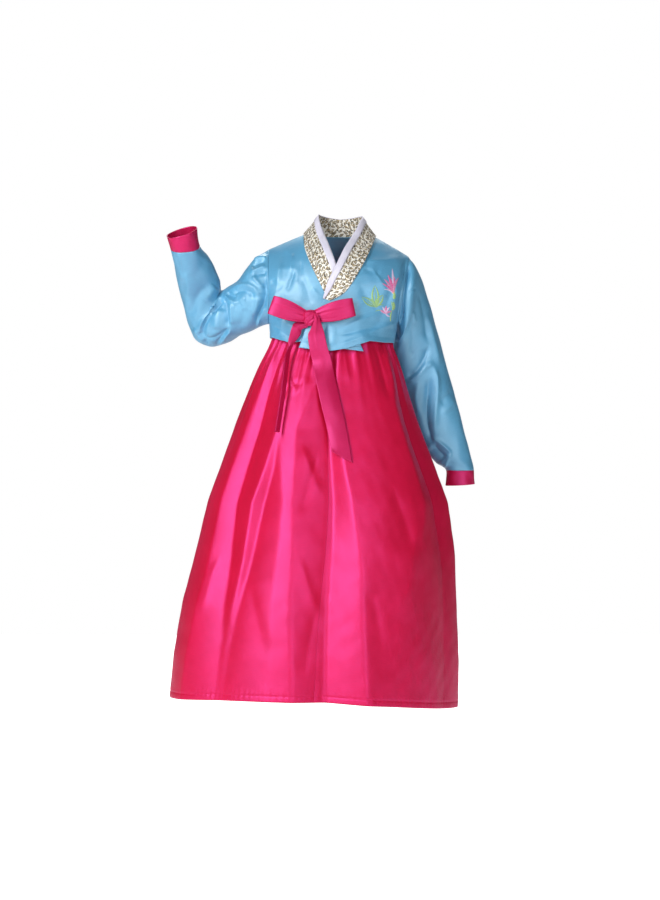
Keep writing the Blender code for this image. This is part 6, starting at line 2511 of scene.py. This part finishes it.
# ---- the whole garment ---------------------------------------------------------------------------------
SKY = Satin("sky_satin_fine", (0.068, 0.30, 0.52), (0.104, 0.39, 0.63), (0.80, 0.95, 1.0),
            roughness=0.46, sheen=0.1)
MAGENTA = Satin("magenta_satin_fine", (0.54, 0.002, 0.020), (0.64, 0.004, 0.036), (1.0, 0.16, 0.68),
                sheen=0.06)
RIBBON = Satin("pink_ribbon_fine", (0.46, 0.004, 0.048), (0.55, 0.008, 0.068), (1.0, 0.18, 0.60), sheen=0.06,
               slub=0.00002)
BROCADE = Brocade("gold_brocade_fine", (0.90, 0.87, 0.79), (0.060, 0.048, 0.030), (0.46, 0.36, 0.20))
STRIP = Plain("white_strip_fine", (0.74, 0.72, 0.84), (0.66, 0.64, 0.77))
COTTON = Plain("white_cotton_fine", (0.84, 0.83, 0.85), (0.74, 0.73, 0.76), roughness=0.8, thread=0.0009)

RIGHT_SLEEVE_FOLDS = table_of(
    Fold,
    (0.005, -0.008, 1.3, 0.5, ((-0.2284, -0.1206), (-0.2227, -0.1461), (-0.2199, -0.1675),
     (-0.2172, -0.1865))),
    (0.0035, -0.0065, 1.3, 0.1, ((-0.233, -0.1264), (-0.24, -0.1412), (-0.2502, -0.1601))),
    (0.0048, 0.005, 1.3, 0.5, ((-0.2358, -0.1206), (-0.2449, -0.1354), (-0.2548, -0.1519),
     (-0.2663, -0.1675), (-0.2737, -0.1824), (-0.277, -0.1939))),
    (0.004, -0.0045, 1.3, 0.0, ((-0.2502, -0.1601), (-0.2614, -0.1717), (-0.2688, -0.1857),
     (-0.2693, -0.198), (-0.2614, -0.2062), (-0.2465, -0.2057), (-0.2317, -0.198), (-0.2182, -0.187))),
    (0.011, 0.005, 2.0, 0.0, ((-0.2367, -0.1461), (-0.2416, -0.1692), (-0.2441, -0.1906))),
    (0.0034, -0.005, 1.3, 0.0, ((-0.2176, -0.1866), (-0.2284, -0.2005), (-0.2383, -0.212),
     (-0.2449, -0.2222))),
    (0.0036, 0.0042, 1.2, 0.0, ((-0.2136, -0.189), (-0.2248, -0.2029), (-0.2347, -0.2145),
     (-0.2413, -0.2235))),
    (0.0034, 0.0046, 1.2, 0.0, ((-0.2304, -0.1211), (-0.2227, -0.1255), (-0.2136, -0.1321),
     (-0.2037, -0.1371), (-0.1947, -0.1354))),
    (0.0052, -0.0056, 1.4, 0.3, ((-0.2218, -0.1168), (-0.212, -0.1223), (-0.2013, -0.1247))),
    (0.006, 0.0046, 1.4, -0.4, ((-0.2136, -0.1363), (-0.2126, -0.1577), (-0.2136, -0.1824))),
    (0.005, 0.0048, 1.3, 0.2, ((-0.2152, -0.1116), (-0.1988, -0.1033), (-0.1823, -0.1025),
     (-0.1675, -0.1083), (-0.1593, -0.1181), (-0.1551, -0.1313))),
    (0.0046, -0.0048, 1.4, 0.0, ((-0.2087, -0.1181), (-0.1905, -0.1132), (-0.1757, -0.1173),
     (-0.165, -0.128))),
    (0.006, 0.003, 1.6, 0.0, ((-0.1971, -0.1371), (-0.1897, -0.1305), (-0.1815, -0.1297))),
    (0.0056, -0.009, 1.5, 0.0, ((-0.1436, -0.0885), (-0.1436, -0.1132), (-0.1469, -0.1379),
     (-0.1543, -0.1577), (-0.1642, -0.1807))),
    (0.007, 0.0036, 1.6, 0.0, ((-0.1593, -0.1264), (-0.1609, -0.1428), (-0.1691, -0.1626))),
    (0.0028, 0.004, 1.2, 0.0, ((-0.17, -0.0852), (-0.1593, -0.0976), (-0.1477, -0.1116))),
    (0.0042, -0.005, 1.4, 0.0, ((-0.1733, -0.0671), (-0.1609, -0.058), (-0.1436, -0.0539))),
    (0.0042, 0.0044, 1.3, 0.0, ((-0.1691, -0.0523), (-0.1576, -0.0473), (-0.1411, -0.0465))),
    (0.0036, 0.0044, 1.3, 0.0, ((-0.1733, -0.0786), (-0.1609, -0.072), (-0.1428, -0.0646))),
    (0.004, -0.0044, 1.4, 0.0, ((-0.1658, -0.0836), (-0.1543, -0.0794), (-0.1411, -0.0786))),
    (0.003, 0.0044, 1.2, 0.0, ((-0.1461, -0.1478), (-0.1543, -0.1659), (-0.1617, -0.1857))),
    (0.009, -0.0034, 1.8, 0.0, ((-0.2515, -0.1), (-0.2729, -0.1181), (-0.2861, -0.1412), (-0.2926, -0.1642))),
    (0.008, 0.0034, 1.8, 0.0, ((-0.2432, -0.1033), (-0.2539, -0.1165), (-0.2663, -0.1321))),
    (0.0022, 0.0018, 1.4, 0.0, ((-0.3127, -0.0432), (-0.3114, -0.0654), (-0.3098, -0.0951))),
    (0.0048, 0.004, 1.3, 0.0, ((-0.2885, -0.1857), (-0.2787, -0.2029), (-0.2663, -0.2128))),
    (0.0048, -0.0042, 1.3, 0.0, ((-0.2787, -0.1922), (-0.2696, -0.2087), (-0.2564, -0.2194))),
    (0.01, -0.0026, 1.8, 0.0, ((-0.1856, -0.1478), (-0.1889, -0.1675), (-0.1955, -0.1857))),
    (0.01, -0.0022, 1.8, 0.0, ((-0.2614, -0.0523), (-0.2729, -0.072), (-0.2894, -0.0934))),
    (0.006, 0.0024, 1.6, 0.0, ((-0.3025, -0.0786), (-0.2976, -0.1017), (-0.2992, -0.1264))))
LEFT_SLEEVE_FOLDS = table_of(
    Fold,
    (0.0044, -0.0085, 1.5, 0.0, ((0.14, -0.0507), (0.1372, -0.0822), (0.1309, -0.1251), (0.1251, -0.1623),
     (0.1223, -0.1881))),
    (0.007, 0.002, 1.8, 0.0, ((0.15, -0.065), (0.1443, -0.1108), (0.1372, -0.1595), (0.1343, -0.1938))),
    (0.0056, -0.0075, 1.3, -0.5, ((0.1366, -0.2877), (0.1558, -0.2734), (0.1681, -0.2582), (0.1778, -0.2396),
     (0.183, -0.2196))),
    (0.004, 0.0044, 1.3, 0.3, ((0.14, -0.2946), (0.1601, -0.2811), (0.1758, -0.2625), (0.193, -0.2517))),
    (0.008, -0.009, 1.6, 0.0, ((0.1853, -0.2797), (0.1813, -0.3141), (0.1772, -0.3484), (0.1784, -0.3828),
     (0.1893, -0.42))),
    (0.0062, 0.0056, 1.5, 0.0, ((0.1901, -0.2568), (0.1979, -0.2826), (0.199, -0.3255), (0.1956, -0.3685),
     (0.1944, -0.4028))),
    (0.006, 0.0034, 1.6, 0.0, ((0.1615, -0.2926), (0.1578, -0.3255), (0.1652, -0.3599))),
    (0.0034, 0.005, 1.2, 0.0, ((0.1887, -0.4043), (0.2087, -0.4177), (0.2299, -0.4377))),
    (0.01, -0.0105, 1.6, 0.3, ((0.189, -0.4215), (0.203, -0.4345), (0.2165, -0.448))),
    (0.003, 0.0036, 1.3, 0.0, ((0.2168, -0.4658), (0.2219, -0.4486), (0.2299, -0.4386))),
    (0.0064, 0.004, 1.6, 0.0, ((0.1772, -0.1566), (0.1876, -0.191), (0.1956, -0.2225), (0.2036, -0.2597))),
    (0.006, -0.0038, 1.6, 0.0, ((0.1629, -0.1137), (0.1709, -0.148), (0.1772, -0.1824), (0.1801, -0.211))),
    (0.005, 0.0028, 1.5, 0.0, ((0.2082, -0.3599), (0.2231, -0.3441), (0.2388, -0.3312))),
    (0.006, -0.003, 1.5, 0.0, ((0.2064, -0.337), (0.2202, -0.3227), (0.2334, -0.3112))),
    (0.0018, -0.002, 1.3, 0.0, ((0.1386, -0.118), (0.1472, -0.1122), (0.1558, -0.1088))),
    (0.004, 0.0022, 1.5, 0.0, ((0.1486, -0.1537), (0.1515, -0.1652), (0.1543, -0.1766))),
    (0.007, -0.0026, 1.6, 0.0, ((0.1472, -0.1824), (0.1486, -0.211), (0.1458, -0.2454))))
RIGHT_SLEEVE_CREASES = table_of(
    Crease,
    ((0.4, 0.98), (0.34, 0.72), 0.01, -0.006, 1.4, 0.2),
    ((0.48, 0.97), (0.56, 0.74), 0.01, -0.0055, 1.4, 0.2),
    ((0.44, 0.94), (0.46, 0.66), 0.01, 0.004, 1.4, 0.2),
    ((0.1, 0.7), (0.3, 0.6), 0.013, -0.003, 1.5, 0.2),
    ((0.04, 0.84), (0.24, 0.8), 0.012, 0.0034, 1.5, 0.2),
    ((0.7, 0.6), (0.88, 0.7), 0.01, 0.0024, 1.5, 0.2),
    ((0.06, 0.62), (0.18, 0.74), 0.01, 0.003, 1.5, 0.2),
    ((0.6, 0.92), (0.76, 0.78), 0.01, -0.0026, 1.5, 0.2))
LEFT_SLEEVE_CREASES = table_of(
    Crease,
    ((0.42, 0.58), (0.4, 0.86), 0.011, -0.0055, 1.4, 0.2),
    ((0.5, 0.6), (0.6, 0.88), 0.012, 0.0038, 1.5, 0.2),
    ((0.1, 0.56), (0.26, 0.7), 0.013, 0.003, 1.5, 0.2),
    ((0.7, 0.6), (0.86, 0.76), 0.01, -0.003, 1.5, 0.2),
    ((0.06, 0.88), (0.28, 0.8), 0.012, -0.003, 1.5, 0.2),
    ((0.3, 0.94), (0.44, 0.82), 0.01, 0.0034, 1.5, 0.2))


def clear_start() -> None:
    """Remove what Blender starts with."""
    for name in ("Cube", "Light", "Camera"):
        piece = bpy.data.objects.get(name)
        if piece is not None:
            bpy.data.objects.remove(piece, do_unlink=True)


def main() -> None:
    """Dress the garment and set the studio."""
    logging.basicConfig(level=logging.INFO, format="%(name)s %(message)s")
    clear_start()
    sky, magenta, ribbon, cotton = SKY.make(), MAGENTA.make(), RIBBON.make(), COTTON.make()
    collar, chima = Collar(), Chima()
    jacket = Jeogori(collar).build(sky)
    collar.build(BROCADE.make(), STRIP.make())
    for side, sections, folds, creases in (
            (Side.RIGHT, RIGHT_SLEEVE, RIGHT_SLEEVE_FOLDS, RIGHT_SLEEVE_CREASES),
            (Side.LEFT, LEFT_SLEEVE, LEFT_SLEEVE_FOLDS, LEFT_SLEEVE_CREASES)):
        Sleeve(side, sections, folds, creases).build(sky, ribbon)
    chima.build(magenta)
    Waistband(chima).build(cotton)
    Goreum(collar, chima).build(ribbon)
    threads = {thread.name.removeprefix("thread_"): thread.make() for thread in THREADS}
    Embroidery().build(jacket[-1], threads)
    Studio().build()


if __name__ == "__main__":
    main()
